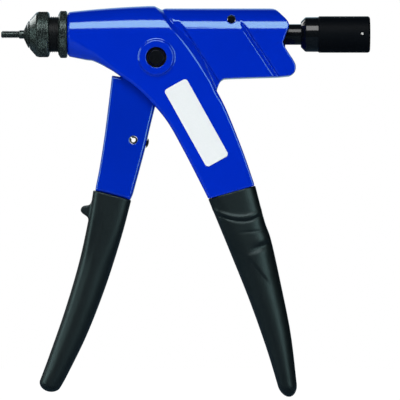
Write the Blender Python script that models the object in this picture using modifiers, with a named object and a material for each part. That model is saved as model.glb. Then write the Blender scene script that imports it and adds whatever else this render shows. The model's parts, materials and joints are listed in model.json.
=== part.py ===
"""Hand-lever rivet nut tool, modelled as an assembly of separate pieces.

The tool stands upright with its nose at -X and its knob at +X. Squeezing the lever turns its
inner arm, two toggle links push the crosshead back along the pull axis, and the crosshead draws
the spindle with the threaded mandrel. The knob turns spindle and mandrel to spin a nut on or off.

Every place below is given in the tool's own frame: x along the pull axis, y across the tool and
z up, with zero on the pull axis. One empty lifts that frame so that the grips end at z = 0.
"""

import math

import bmesh
import bpy
from mathutils import Matrix, Vector

MM = 0.001

# Clearances
SEAT_GAP = 0.3 * MM          # between a piece and what it is fixed in or rests on
RUN_GAP = 0.25 * MM          # round a pin or shaft that turns
SIDE_GAP = 0.6 * MM          # beside moving plates
SKIN = 0.1 * MM              # small step that keeps joined castings from sharing a face
CHAMFER = 0.5 * MM           # on pins, shafts and flanges
THROUGH = 30.0 * MM          # reach to each side of a drill that goes right through

# Pull axis, from the tip of the mandrel to the end of the knob
MANDREL_TIP_X = -122.9 * MM
THREAD_LENGTH = 12.0 * MM
THREAD_RADIUS = 2.45 * MM
MANDREL_RADIUS = 2.8 * MM
MANDREL_HEAD_RADIUS = 4.2 * MM
MANDREL_HEAD_LENGTH = 4.5 * MM
ANVIL_FRONT_X = -107.6 * MM
ANVIL_HEAD_LENGTH = 3.4 * MM
ANVIL_FACE_RADIUS = 4.2 * MM
ANVIL_RADIUS = 9.5 * MM
ANVIL_TAIL_RADIUS = 6.0 * MM
ANVIL_TAIL_LENGTH = 7.4 * MM
ANVIL_DOME_SHARE = 0.94      # share of the head's length that the dome takes
ANVIL_DOME_CURVE = 0.8
NOSE_NUT_LENGTH = 13.4 * MM
NOSE_NUT_RADIUS = 15.2 * MM
NOSE_NUT_NECK_RADIUS = 12.5 * MM
NOSE_NUT_WALL = 4.2 * MM
NOSE_CONE_LENGTH = 6.3 * MM
NOSE_SEAM_DEPTH = 0.8 * MM   # of the narrow seam between the anvil and the nose nut
SLEEVE_RADIUS = 11.55 * MM
SLEEVE_BORE_RADIUS = 8.2 * MM
SLEEVE_SEAT_DEPTH = 20.0 * MM
LOCK_NUT_LENGTH = 5.8 * MM
LOCK_NUT_RADIUS = 15.75 * MM
NUT_CHAMFER = 1.3 * MM
HOLDER_RADIUS = 7.6 * MM
HOLDER_LENGTH = 33.0 * MM
HOLDER_FRONT_GAP = 2.5 * MM
HOLDER_FRONT_WALL = 5.4 * MM
SPINDLE_RADIUS = 4.0 * MM
SHAFT_RADIUS = 6.9 * MM
COLLAR_RADIUS = 8.2 * MM
COLLAR_LENGTH = 2.8 * MM
KNOB_FRONT_X = 76.9 * MM
KNOB_END_X = 122.9 * MM
KNOB_RADIUS = 12.15 * MM
KNOB_NECK_RADIUS = 11.6 * MM
KNOB_NECK_LENGTH = 11.7 * MM
KNOB_FACE_RADIUS = 8.6 * MM
KNOB_CHAMFER_LENGTH = 3.3 * MM
KNOB_CORNER = 1.5 * MM
KNOB_WALL = 2.6 * MM
KNOB_PIN_RADIUS = 0.95 * MM
KNOB_PIN_INSET = 5.4 * MM

# Housing: head, rear barrel and fixed handle
FACE_X = -78.6 * MM          # flat front face of the nose
FACE_CHAMFER = 1.3 * MM
NECK_RADIUS = 14.75 * MM     # roof radius at the nose
BROW_X = -21.3 * MM          # where the raised front part ends on the roof
BROW_RADIUS = 19.1 * MM      # roof radius there
REAR_RADIUS = 17.35 * MM     # roof radius of the rear barrel
DRAFT = 0.042                # sideways taper of the casting per unit of depth
CASTING_EDGE = 2.6 * MM      # rounding of the casting's long edges
REAR_EDGE = 1.6 * MM
CHANNEL_HALF = 11.6 * MM     # half the clear width between the cheeks
WAY_RADIUS = 12.9 * MM       # round way of the crosshead
WAY_START_X = 9.0 * MM
WAY_LENGTH = 53.3 * MM
FRONT_WAY_RADIUS = 9.0 * MM  # round way in front of the crosshead
BORE_END_X = 90.0 * MM       # behind the rear wall
GROOVE_FLOOR = 15.15 * MM    # half-width left under the two slanting grooves
BOSS_RADIUS = 11.6 * MM
BOSS_FACE = 20.2 * MM        # distance of each pivot boss face from the middle
BOSS_CHAMFER = 0.9 * MM
RIB_THICKNESS = 4.0 * MM
RIB_HEIGHT = 11.0 * MM
HEAD_START_X = -42.0 * MM    # where the flat-sided head starts inside the nose
NOSE_END_X = -32.0 * MM      # where the nose's own form ends inside the head
NOSE_ROUNDNESS = 0.97        # rounding of the nose's lower corners, as a share of its radius
NOSE_FADE = 1.5              # how soon that rounding shrinks to the casting's edge
NOSE_FADE_CURVE = 1.3
ABOVE_ROOF = 25.0 * MM       # height at which the outlines close above the roofs
CREST_OVERRUN = 4.0 * MM     # how far the raised front runs on past the brow
LEG_FOOT_Z = -130.0 * MM     # below the handle, for the shapes that give the roofs their form
LEG_FLARE = 3.0 * MM
GROOVE_CUT_DEPTH = 8.0 * MM  # reach of the groove cutters out of the flanks
FRONT_ROOM_RELIEF = 2.0 * MM

# Lever linkage
PIVOT_X = -19.3 * MM
PIVOT_Z = -15.8 * MM
PIVOT_PIN_RADIUS = 5.35 * MM
PIVOT_PIN_RECESS = 0.6 * MM
BUSH_WALL = 0.9 * MM
BUSH_RECESS = 2.5 * MM
LEVER_BUSH_WALL = 1.3 * MM
EYE_WALL = 2.7 * MM
EYE_ROOM = 1.0 * MM          # clear height over the lever's eye
LEVER_EDGE = 2.2 * MM
ARM_WALL = 3.0 * MM          # of the lever's inner arm round the knee pin
ARM_EDGE = 0.8 * MM
ARM_LENGTH = 16.5 * MM       # from the pivot to the knee pin
ARM_ANGLE = math.radians(-40.0)
LEVER_SWEEP = math.radians(24.0)
LINK_LENGTH = 40.0 * MM
LINK_END_RADIUS = 5.5 * MM
LINK_THICKNESS = 3.4 * MM
LINK_ROOM = 0.7 * MM         # clear height over the links
LINK_END_ROOM = 1.5 * MM     # clear length behind them at the end of the stroke
KNEE_PIN_RADIUS = 3.5 * MM
TRUNNION_CLEARANCE = 0.6 * MM  # open pivot of the linkage
CIRCLIP_THICKNESS = 1.0 * MM
CIRCLIP_GROOVE_DEPTH = 0.55 * MM
ROLL_PIN_X = -34.6 * MM
ROLL_PIN_Z = -70.4 * MM
ROLL_PIN_RADIUS = 2.5 * MM
ROLL_PIN_WALL = 0.95 * MM
ROLL_PIN_SLIT = 0.9 * MM
ROLL_PIN_SLIT_ANGLE = 135.0  # degrees from +x
BUMPER_X = -26.1 * MM
BUMPER_Z = -72.3 * MM
BUMPER_ANGLE = math.radians(-13.0)
BUMPER_RADIUS = 3.3 * MM
BUMPER_HEIGHT = 1.6 * MM
BUMPER_STEM_RADIUS = 1.8 * MM
BUMPER_STEM_LENGTH = 4.0 * MM

# Crosshead, thrust bearing, spring and rear bush
CROSSHEAD_HALF_HEIGHT = 8.5 * MM
CROSSHEAD_FRONT = 10.4 * MM  # from the trunnions to the block's front
FLANGE_RADIUS = 12.4 * MM
FLANGE_THICKNESS = 4.0 * MM
CROSSHEAD_CHAMFER = 2.0 * MM
CROSSHEAD_SIDE_STEP = 0.5 * MM  # between the crosshead's flanks and the links' clearance
STOP_PIN_REACH = 7.115 * MM  # from the trunnions to the stop pin
STOP_PIN_Z = 9.6 * MM
STOP_PIN_RADIUS = 2.5 * MM
STOP_PIN_SINK = 0.7 * MM     # of its ends below the barrel's surface
WASHER_THICKNESS = 1.2 * MM
WASHER_RADIUS = 8.4 * MM
BALL_RADIUS = 1.5 * MM
BALL_CIRCLE_RADIUS = 6.4 * MM
BALL_COUNT = 8
CAGE_THICKNESS = 1.4 * MM
SPRING_RADIUS = 10.6 * MM
SPRING_WIRE_RADIUS = 0.9 * MM
SPRING_TURNS = 5
GUIDE_RADIUS = 10.0 * MM
GUIDE_FLANGE_RADIUS = 12.4 * MM
GUIDE_FLANGE_THICKNESS = 1.6 * MM
GUIDE_LENGTH = 4.4 * MM

# Grips and label
GRIP_WALL = 3.0 * MM
FIXED_GRIP_TOP_HALF = 14.6 * MM
FIXED_GRIP_END_HALF = 9.6 * MM
LEVER_GRIP_TOP_HALF = 12.6 * MM
LEVER_GRIP_END_HALF = 9.4 * MM
FIXED_TANG_HALF = 7.5 * MM
LEVER_TANG_HALF = 6.8 * MM
GUARD_HALF = 7.0 * MM
GUARD_EDGE = 1.2 * MM
GRIP_TOP_POWER = 4.0         # roundness of the grips' sections: 2 is an oval, more is squarer
GRIP_POWER = 2.5
CAP_SPAN = math.radians(80.0)  # of the quarter turn that a rounded end would take
FIXED_CAP = 7.9 * MM         # length of the rounded end of each grip
LEVER_CAP = 5.2 * MM
TANG_REACH = 0.86            # share of the grip's length that the tang fills
CAVITY_REACH = TANG_REACH + 0.01
TANG_ROOT = 3.0 * MM         # how far a tang runs up into its casting
TANG_STATIONS = 10
COLLAR_SHARE = 0.116         # place of the groove below the fixed grip's collar
COLLAR_HALF_SHARE = 0.013    # half that groove's width
COLLAR_DEPTH = 0.9 * MM
COLLAR_SAG = 4.0 * MM        # how much lower the groove runs on the flanks than on the edges
GRIP_STEP = 0.6 * MM         # how far the castings stay inside the grips' rear edges
FIXED_GRIP_STEP = 0.2 * MM   # and inside their front edges
LEVER_GRIP_STEP = 1.5 * MM
LABEL_X = 7.3 * MM
LABEL_Z = -59.2 * MM
LABEL_LENGTH = 58.5 * MM
LABEL_WIDTH = 16.9 * MM
LABEL_CORNER = 2.3 * MM
LABEL_THICKNESS = 0.4 * MM
LABEL_LEAN = math.radians(29.1)

# Outlines in the x-z plane, in millimetres; each is drawn as a smooth curve through its points
UNDERSIDE = [
    (-77.3, -14.8), (-66.3, -16.9), (-61.0, -17.8), (-50.3, -23.1), (-42.3, -28.6),
    (-30.3, -37.7), (-13.8, -55.7), (-1.4, -77.0), (12.3, -103.7),
]
BAND_EDGE = [
    (45.2, -98.3), (38.0, -77.5), (27.4, -51.0), (20.6, -37.5), (7.0, -16.7),
    (-10.5, 4.7), (-21.3, 19.1),
]
REAR_END = [
    (69.4, -27.7), (72.3, -25.7), (73.2, -22.1), (72.0, -18.2), (65.3, -7.4), (65.7, -3.2),
    (68.6, 5.5), (68.3, 9.4), (64.7, 12.9), (60.5, 16.4), (56.5, 17.8),
]
BARREL_START = [(-28.0, 25.0), (-28.0, -29.5), (8.0, -38.5)]
BARREL_FOOT = [(20.6, -38.5), (22.4, -33.0), (24.8, -30.3), (30.0, -29.5), (61.7, -28.5)]
BARREL_CLOSE_X = 55.0
BAND_GROOVE = ((-8.7, 15.0), (28.6, -42.0))
BAND_GROOVE_WIDTH = 22.0
REAR_GROOVE = ((34.9, 16.0), (66.0, -33.0))
REAR_GROOVE_WIDTH = 6.0
REAR_GROOVE_TILT = 24.0      # degrees that the rear groove's floor rises to the left
CHANNEL_FRONT = [(-53.5, -90.0), (-53.5, -21.6), (-51.5, -19.8)]
CHANNEL_REAR = [(10.0, -26.0), (35.2, -90.0), (31.0, -97.0), (-10.0, -97.0)]
CHANNEL_CORNER_Z = -7.0
FIXED_GRIP_FRONT = [
    (15.1, -109.7), (30.2, -146.3), (43.0, -178.3), (54.3, -210.3), (61.6, -234.5),
]
FIXED_GRIP_REAR = [
    (46.5, -100.7), (52.6, -124.0), (57.2, -137.5), (63.9, -167.7), (70.2, -199.7), (74.2, -233.0),
]
LEVER_TOP = [(-40.5, -30.5), (-43.5, -29.2)]
LEVER_LEFT = [
    (-48.9, -27.6), (-50.1, -38.3), (-53.6, -66.3), (-56.9, -87.7), (-59.5, -101.0),
]
LEVER_RIGHT = [
    (-35.1, -106.4), (-32.9, -98.3), (-27.2, -77.0), (-23.5, -61.0), (-20.5, -49.0),
]
LEVER_GRIP_FRONT = [
    (-61.4, -103.8), (-64.3, -121.5), (-70.9, -151.7), (-80.3, -183.7), (-91.0, -214.5),
    (-97.0, -230.5),
]
LEVER_GRIP_REAR = [
    (-36.2, -110.5), (-42.9, -135.7), (-53.1, -167.7), (-65.5, -199.7), (-78.5, -226.5),
    (-83.5, -235.5),
]
GUARD = [
    (-58.0, -108.5), (-63.3, -113.2), (-67.9, -114.3), (-69.7, -116.4), (-68.9, -118.9),
    (-64.2, -122.4), (-58.0, -128.0),
]

# Mesh density
ROUND_STEPS = 24
SMALL_STEPS = 12
ROOF_STEPS = 16
NOSE_STATIONS = 10
RING_POINTS = 20
GRIP_STATIONS = 12
CAP_STEPS = 5
OUTLINE_STEPS = 3
SPRING_STEPS = 10
EDGE_STEPS = 2

# Places worked out from the values above
LEVER_HALF = CHANNEL_HALF - SIDE_GAP
CROSSHEAD_HALF = CHANNEL_HALF - LINK_THICKNESS - 2 * SIDE_GAP - CROSSHEAD_SIDE_STEP
LINK_INNER = CROSSHEAD_HALF + SIDE_GAP
LINK_OUTER = LINK_INNER + LINK_THICKNESS
NOSE_NUT_FRONT_X = ANVIL_FRONT_X + ANVIL_HEAD_LENGTH + SEAT_GAP
SLEEVE_FRONT_X = NOSE_NUT_FRONT_X + NOSE_NUT_WALL + SEAT_GAP
SLEEVE_END_X = FACE_X + SLEEVE_SEAT_DEPTH
LOCK_NUT_END_X = FACE_X - SEAT_GAP
SLEEVE_SEAT_RADIUS = SLEEVE_RADIUS + SEAT_GAP
HOLDER_FRONT_X = ANVIL_FRONT_X + ANVIL_HEAD_LENGTH + ANVIL_TAIL_LENGTH + HOLDER_FRONT_GAP
HOLDER_END_X = HOLDER_FRONT_X + HOLDER_LENGTH
MANDREL_HEAD_X = HOLDER_FRONT_X + HOLDER_FRONT_WALL + SEAT_GAP
SPINDLE_FRONT_X = MANDREL_HEAD_X + MANDREL_HEAD_LENGTH + 2 * SEAT_GAP
SPINDLE_BORE_RADIUS = SPINDLE_RADIUS + RUN_GAP
SHAFT_END_X = KNOB_END_X - KNOB_WALL - SEAT_GAP
KNOB_PIN_X = KNOB_END_X - KNOB_PIN_INSET
WAY_END_X = WAY_START_X + WAY_LENGTH
GUIDE_SEAT_RADIUS = GUIDE_RADIUS + SEAT_GAP
BUSH_RADIUS = PIVOT_PIN_RADIUS + RUN_GAP + BUSH_WALL
PIVOT_HOLE_RADIUS = BUSH_RADIUS + SEAT_GAP
LEVER_BUSH_RADIUS = PIVOT_PIN_RADIUS + RUN_GAP + LEVER_BUSH_WALL
LEVER_BORE_RADIUS = LEVER_BUSH_RADIUS + SEAT_GAP
EYE_RADIUS = LEVER_BORE_RADIUS + EYE_WALL


def knee_at(turn):
    """Place of the knee pin when the lever has turned by this angle."""
    angle = ARM_ANGLE + turn
    return Vector((PIVOT_X + ARM_LENGTH * math.cos(angle), PIVOT_Z + ARM_LENGTH * math.sin(angle)))


def trunnion_at(turn):
    """Place of the crosshead's trunnions on the pull axis for that lever angle."""
    knee = knee_at(turn)
    return Vector((knee.x + math.sqrt(LINK_LENGTH ** 2 - knee.y ** 2), 0.0))


KNEE = knee_at(0.0)
TRUNNION = trunnion_at(0.0)
STROKE = trunnion_at(LEVER_SWEEP).x - TRUNNION.x
STOP_PIN_X = TRUNNION.x + STOP_PIN_REACH
STOP_PIN_HOLE_RADIUS = STOP_PIN_RADIUS + SEAT_GAP
SLOT_FRONT_X = STOP_PIN_X - STROKE - STOP_PIN_RADIUS - SEAT_GAP
SLOT_REAR_X = STOP_PIN_X + STOP_PIN_RADIUS + SEAT_GAP
FLANGE_FRONT_X = SLOT_REAR_X + 0.4 * MM
FLANGE_REAR_X = FLANGE_FRONT_X + FLANGE_THICKNESS
FRONT_WASHER_X = FLANGE_REAR_X + SEAT_GAP
BALL_X = FRONT_WASHER_X + WASHER_THICKNESS + SEAT_GAP + BALL_RADIUS
REAR_WASHER_X = BALL_X + BALL_RADIUS + SEAT_GAP
COLLAR_X = REAR_WASHER_X + WASHER_THICKNESS + SEAT_GAP
GUIDE_FRONT_X = WAY_END_X - SEAT_GAP - GUIDE_FLANGE_THICKNESS

for thing in list(bpy.data.objects):
    bpy.data.objects.remove(thing)
TOOL = bpy.data.collections.new("rivet_nut_tool")
SHAPES = bpy.data.collections.new("cutters_and_added_shapes")
FRAME = bpy.data.objects.new("tool_frame", None)
CARRIER_PLACES = {FRAME.name: (0.0, 0.0, 0.0)}


def mm(points):
    """Millimetre points as metres."""
    return [(x * MM, z * MM) for x, z in points]


def smooth(points, steps):
    """A smooth curve through the points: Catmull-Rom, with this many steps in each span."""
    run = []
    for i in range(len(points) - 1):
        before = Vector(points[max(i - 1, 0)])
        start = Vector(points[i])
        end = Vector(points[i + 1])
        after = Vector(points[min(i + 2, len(points) - 1)])
        for step in range(steps):
            t = step / steps
            run.append(0.5 * (
                2 * start
                + (end - before) * t
                + (2 * before - 5 * start + 4 * end - after) * t ** 2
                + (3 * start - before - 3 * end + after) * t ** 3
            ))
    run.append(Vector(points[-1]))
    return [(point.x, point.y) for point in run]


def along(run, share):
    """The point at this share of a curve's own steps."""
    place = min(max(share, 0.0), 1.0) * (len(run) - 1)
    index = min(int(place), len(run) - 2)
    return Vector(run[index]).lerp(Vector(run[index + 1]), place - index)


def arc(centre, radius, start, end, steps):
    """Points of an arc between two angles in degrees."""
    angles = [math.radians(start + (end - start) * i / steps) for i in range(steps + 1)]
    return [(centre[0] + radius * math.cos(a), centre[1] + radius * math.sin(a)) for a in angles]


def circle(centre, radius, steps):
    """A closed ring of points."""
    return arc(centre, radius, 0.0, 360.0, steps)[:-1]


def srgb(red, green, blue):
    """A screen colour from 0 to 255 as the linear colour that a shader takes."""
    return [
        value / 12.92 if value <= 0.04045 else ((value + 0.055) / 1.055) ** 2.4
        for value in (red / 255, green / 255, blue / 255)
    ]


def material(name, colour, roughness, metallic=0.0):
    """A plain Principled material."""
    surface = bpy.data.materials.new(name)
    surface.use_nodes = True
    shader = surface.node_tree.nodes["Principled BSDF"]
    shader.inputs["Base Color"].default_value = (*colour, 1.0)
    shader.inputs["Roughness"].default_value = roughness
    shader.inputs["Metallic"].default_value = metallic
    return surface


def place(name, mesh):
    """An object for the mesh, among the cutters and hung on the tool's frame."""
    thing = bpy.data.objects.new(name, mesh)
    SHAPES.objects.link(thing)
    thing.hide_render = True
    thing.display_type = "WIRE"
    hang(thing, FRAME)
    return thing


def finish_mesh(mesh, forms):
    """Weld the mesh, turn its faces outward and store it."""
    bmesh.ops.remove_doubles(forms, verts=forms.verts, dist=0.002 * MM)
    bmesh.ops.recalc_face_normals(forms, faces=forms.faces)
    forms.to_mesh(mesh)
    forms.free()


def smooth_shade(mesh):
    """Smooth shading that keeps the hard edges."""
    mesh.shade_smooth()
    mesh.set_sharp_from_angle(angle=math.radians(35))


def plate(name, loops, low, high, edge=0.0):
    """A flat outline in the x-z plane, solid from y = low to y = high, with rounded long edges."""
    curve = bpy.data.curves.new(name, "CURVE")
    curve.dimensions = "2D"
    curve.fill_mode = "BOTH"
    curve.extrude = (high - low) / 2 - edge
    curve.bevel_depth = edge
    curve.bevel_resolution = EDGE_STEPS
    curve.offset = -edge
    for loop in loops:
        spline = curve.splines.new("POLY")
        spline.points.add(len(loop) - 1)
        spline.use_cyclic_u = True
        for point, (x, z) in zip(spline.points, loop):
            point.co = (x, z, 0.0, 1.0)
    outline = place(name + "_outline", curve)
    bpy.context.view_layer.update()
    evaluated = outline.evaluated_get(bpy.context.evaluated_depsgraph_get())
    mesh = bpy.data.meshes.new_from_object(evaluated)
    bpy.data.objects.remove(outline)
    forms = bmesh.new()
    forms.from_mesh(mesh)
    stand_up = Matrix.Translation((0.0, (low + high) / 2, 0.0)) @ Matrix.Rotation(math.pi / 2, 4, "X")
    bmesh.ops.transform(forms, matrix=stand_up, verts=forms.verts)
    finish_mesh(mesh, forms)
    return place(name, mesh)


def turned(name, profile, axis="X", at=(0.0, 0.0, 0.0), steps=ROUND_STEPS):
    """A turned solid. The profile is (place along the axis, radius) from the far end to the near
    end along the outside and, on a hollow piece, back along the bore."""
    mesh = bpy.data.meshes.new(name)
    points = [(radius, 0.0, place_along) for place_along, radius in profile]
    edges = [(i, i + 1) for i in range(len(points) - 1)]
    if min(radius for _, radius in profile) > 0:
        edges.append((len(points) - 1, 0))
    mesh.from_pydata(points, edges, [])
    thing = place(name, mesh)
    screw = thing.modifiers.new("turn", "SCREW")
    screw.axis = "Z"
    screw.steps = steps
    screw.render_steps = steps
    screw.use_merge_vertices = True
    screw.merge_threshold = 0.002 * MM
    screw.use_smooth_shade = False
    thing.location = at
    if axis == "X":
        thing.rotation_euler = (0.0, math.pi / 2, 0.0)
    else:
        thing.rotation_euler = (-math.pi / 2, 0.0, 0.0)
    return thing


def tube(start, end, outer, inner, chamfer=0.0):
    """Profile of a plain bush or washer."""
    return [
        (end, outer - chamfer), (end - chamfer, outer), (start + chamfer, outer),
        (start, outer - chamfer), (start, inner), (end, inner),
    ] if chamfer else [(end, outer), (start, outer), (start, inner), (end, inner)]


def rod(start, end, radius, chamfer=0.0):
    """Profile of a plain pin or hole."""
    if not chamfer:
        return [(end, 0.0), (end, radius), (start, radius), (start, 0.0)]
    return [
        (end, 0.0), (end, radius - chamfer), (end - chamfer, radius),
        (start + chamfer, radius), (start, radius - chamfer), (start, 0.0),
    ]


def box(name, low, high, turn=0.0):
    """A box between two corners, turned in the x-z plane about its own middle."""
    forms = bmesh.new()
    bmesh.ops.create_cube(forms, size=1.0)
    size = [b - a for a, b in zip(low, high)]
    middle = [(a + b) / 2 for a, b in zip(low, high)]
    bmesh.ops.scale(forms, vec=size, verts=forms.verts)
    bmesh.ops.rotate(forms, verts=forms.verts, matrix=Matrix.Rotation(-turn, 3, "Y"))
    bmesh.ops.translate(forms, verts=forms.verts, vec=middle)
    mesh = bpy.data.meshes.new(name)
    finish_mesh(mesh, forms)
    return place(name, mesh)


def loft(name, rings):
    """A closed solid through rings that have the same number of points."""
    forms = bmesh.new()
    rows = [[forms.verts.new(point) for point in ring] for ring in rings]
    count = len(rings[0])
    for near, far in zip(rows, rows[1:]):
        for i in range(count):
            after = (i + 1) % count
            forms.faces.new((near[i], near[after], far[after], far[i]))
    forms.faces.new(rows[0])
    forms.faces.new(rows[-1])
    mesh = bpy.data.meshes.new(name)
    finish_mesh(mesh, forms)
    return place(name, mesh)


def combine(target, other, operation):
    """Join another shape to the target, cut it away or keep what both share."""
    modifier = target.modifiers.new(other.name, "BOOLEAN")
    modifier.operation = operation
    modifier.object = other
    modifier.solver = "EXACT"


def cut(target, *others):
    for other in others:
        combine(target, other, "DIFFERENCE")


def add(target, *others):
    for other in others:
        combine(target, other, "UNION")


def keep(thing, name, surface, carrier):
    """Make a shape one of the tool's pieces: name, material, collection and carrier."""
    if thing.modifiers:
        bpy.context.view_layer.update()
        evaluated = thing.evaluated_get(bpy.context.evaluated_depsgraph_get())
        solid = bpy.data.meshes.new_from_object(evaluated)
        thing.modifiers.clear()
        thing.data = solid
    smooth_shade(thing.data)
    SHAPES.objects.unlink(thing)
    TOOL.objects.link(thing)
    thing.hide_render = False
    thing.display_type = "TEXTURED"
    thing.name = name
    thing.data.name = name
    thing.data.materials.clear()
    thing.data.materials.append(surface)
    hang(thing, carrier)
    return thing


def hang(thing, carrier):
    """Parent to a carrier without moving, in the tool's own frame."""
    thing.parent = carrier
    thing.matrix_parent_inverse = Matrix.Translation([-x for x in CARRIER_PLACES[carrier.name]])


def carrier(name, x, z, parent):
    """An empty on a joint's axis that carries the pieces of one moving body."""
    thing = bpy.data.objects.new(name, None)
    thing.empty_display_size = 10 * MM
    TOOL.objects.link(thing)
    CARRIER_PLACES[name] = (x, 0.0, z)
    thing.location = (x, 0.0, z)
    hang(thing, parent)
    return thing


# Casting widths and outlines


def roof_radius(x):
    """Radius of the front roof about the pull axis: it widens from the nose to the brow."""
    share = (x - FACE_X - FACE_CHAMFER) / (BROW_X - FACE_X - FACE_CHAMFER)
    return NECK_RADIUS + (BROW_RADIUS - NECK_RADIUS) * min(share, 1.0)


def flank(x, z):
    """Half-width of the front casting: the roof's radius less the casting's draft."""
    narrow = 1.0 - DRAFT * max(0.0, -z) / BROW_RADIUS
    return (roof_radius(x) - 2 * SKIN) * narrow


def underside_curve():
    return smooth(mm(UNDERSIDE), OUTLINE_STEPS + 1)


def underside_at(x):
    """Height of the head's lower outline below the pull axis."""
    run = underside_curve()
    for (x0, z0), (x1, z1) in zip(run, run[1:]):
        if x0 <= x <= x1:
            return z0 + (z1 - z0) * (x - x0) / (x1 - x0)
    return run[0][1]


def arch(x, radius, foot, flare):
    """A ring across the tool: half a circle over the axis and two legs that spread a little."""
    top = [(x, radius * math.cos(a), radius * math.sin(a))
           for a in (math.pi * i / ROOF_STEPS for i in range(ROOF_STEPS + 1))]
    return [(x, radius + flare, foot)] + top + [(x, -radius - flare, foot)]


def nose_ring(x, radius, bottom, corner):
    """A ring across the nose: half a circle on top, straight flanks and rounded lower corners."""
    top = [(x, radius * math.cos(a), radius * math.sin(a))
           for a in (math.pi * i / ROOF_STEPS for i in range(ROOF_STEPS + 1))]
    side = radius * (1.0 + DRAFT * (bottom + corner) / BROW_RADIUS)
    steps = ROOF_STEPS // 3
    left = [(x, -side + corner - corner * math.cos(a), bottom + corner - corner * math.sin(a))
            for a in (math.pi / 2 * i / steps for i in range(steps + 1))]
    right = [(x, -y, z) for x, y, z in reversed(left)]
    return top + left + right


def nose_block():
    """The round nose that grows into the flat-sided head."""
    start = FACE_X + FACE_CHAMFER
    rings = [nose_ring(FACE_X, NECK_RADIUS - FACE_CHAMFER, FACE_CHAMFER - NECK_RADIUS,
                       NOSE_ROUNDNESS * (NECK_RADIUS - FACE_CHAMFER))]
    for i in range(NOSE_STATIONS + 1):
        x = start + (NOSE_END_X - start) * i / NOSE_STATIONS
        radius = roof_radius(x)
        fullness = (1 - min(1.0, NOSE_FADE * i / NOSE_STATIONS)) ** NOSE_FADE_CURVE
        corner = NOSE_ROUNDNESS * radius * fullness + CASTING_EDGE * (1 - fullness)
        bottom = -radius if i == 0 else min(-radius, underside_at(x) - SKIN)
        rings.append(nose_ring(x, radius, bottom, corner))
    return loft("nose_block", rings)


def grip_seat(front, rear, front_step, rear_step):
    """The two corners of a casting that ends on a grip, a small step inside the grip's own."""
    a = Vector(mm(front)[0])
    b = Vector(mm(rear)[0])
    across = (b - a).normalized()
    lift = Vector((-across.y, across.x)) * SEAT_GAP
    return [tuple(a + lift + across * front_step), tuple(b + lift - across * rear_step)]


def front_block():
    """Head and fixed handle in one outline, with its flanks drawn in to the casting's width."""
    start_x = HEAD_START_X
    lower = [(x, z) for x, z in underside_curve() if x > start_x + 1 * MM]
    band = smooth(mm(BAND_EDGE), OUTLINE_STEPS)
    onward = (Vector(band[-1]) - Vector(band[-2])).normalized()
    past_brow = Vector(band[-1]) + onward * CREST_OVERRUN
    outline = (
        [(start_x, ABOVE_ROOF), (start_x, underside_at(start_x))] + lower
        + grip_seat(FIXED_GRIP_FRONT, FIXED_GRIP_REAR, FIXED_GRIP_STEP, GRIP_STEP)
        + band + [tuple(past_brow), (past_brow.x, ABOVE_ROOF)]
    )
    half = BROW_RADIUS
    block = plate("front_block", [outline], -half, half, CASTING_EDGE)
    forms = bmesh.new()
    forms.from_mesh(block.data)
    for point, normal in (((BROW_X, 0, 0), (1, 0, 0)), ((0, 0, 0), (0, 0, 1))):
        bmesh.ops.bisect_plane(
            forms, geom=forms.verts[:] + forms.edges[:] + forms.faces[:],
            plane_co=point, plane_no=normal, dist=0.001 * MM)
    for vert in forms.verts:
        vert.co.y *= flank(vert.co.x, vert.co.z) / half
    finish_mesh(block.data, forms)
    stations = (start_x - 5 * MM, BROW_X, 60 * MM)
    rings = [arch(x, roof_radius(x) - SKIN, LEG_FOOT_Z, LEG_FLARE) for x in stations]
    combine(block, loft("front_roof", rings), "INTERSECT")
    return block


def slanting_cutter(name, top, bottom, width, tilt):
    """A cutter for one slanting groove of the near flank; its floor rises to the left."""
    top = Vector(top)
    bottom = Vector(bottom)
    length = (top - bottom).length
    middle = (top + bottom) / 2
    lean = math.atan2(top.x - bottom.x, top.y - bottom.y)
    cutter = box(name, (-width, -GROOVE_CUT_DEPTH, -length / 2), (0.0, 0.0, length / 2))
    turn = Matrix.Rotation(lean, 4, "Y") @ Matrix.Rotation(tilt, 4, "Z")
    cutter.data.transform(Matrix.Translation((middle.x, -GROOVE_FLOOR, middle.y)) @ turn)
    return cutter


def rear_barrel():
    """The rear body round the crosshead's way, with its two slanting grooves."""
    rear = smooth(mm(REAR_END), OUTLINE_STEPS)
    outline = (
        mm(BARREL_START) + mm(BARREL_FOOT) + rear + [(BARREL_CLOSE_X * MM, ABOVE_ROOF)]
    )
    barrel = plate("rear_barrel", [outline], -REAR_RADIUS, REAR_RADIUS, REAR_EDGE)
    forms = bmesh.new()
    forms.from_mesh(barrel.data)
    bmesh.ops.bisect_plane(
        forms, geom=forms.verts[:] + forms.edges[:] + forms.faces[:],
        plane_co=(0, 0, 0), plane_no=(0, 0, 1), dist=0.001 * MM)
    for vert in forms.verts:
        vert.co.y *= (1.0 - SKIN / REAR_RADIUS) * (1.0 - DRAFT * max(0.0, -vert.co.z) / REAR_RADIUS)
    finish_mesh(barrel.data, forms)
    rings = [arch(x, REAR_RADIUS, LEG_FOOT_Z, LEG_FLARE) for x in (HEAD_START_X, BORE_END_X)]
    combine(barrel, loft("rear_roof", rings), "INTERSECT")
    for name, groove, width, tilt in (
        ("band_groove", BAND_GROOVE, BAND_GROOVE_WIDTH, 0.0),
        ("rear_groove", REAR_GROOVE, REAR_GROOVE_WIDTH, REAR_GROOVE_TILT),
    ):
        top, bottom = mm(groove)
        near = slanting_cutter(name, top, bottom, width * MM, math.radians(tilt))
        far = near.copy()
        far.data = near.data.copy()
        far.data.transform(Matrix.Scale(-1, 4, (0, 1, 0)))
        far.data.flip_normals()
        SHAPES.objects.link(far)
        cut(barrel, near, far)
    return barrel


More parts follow.
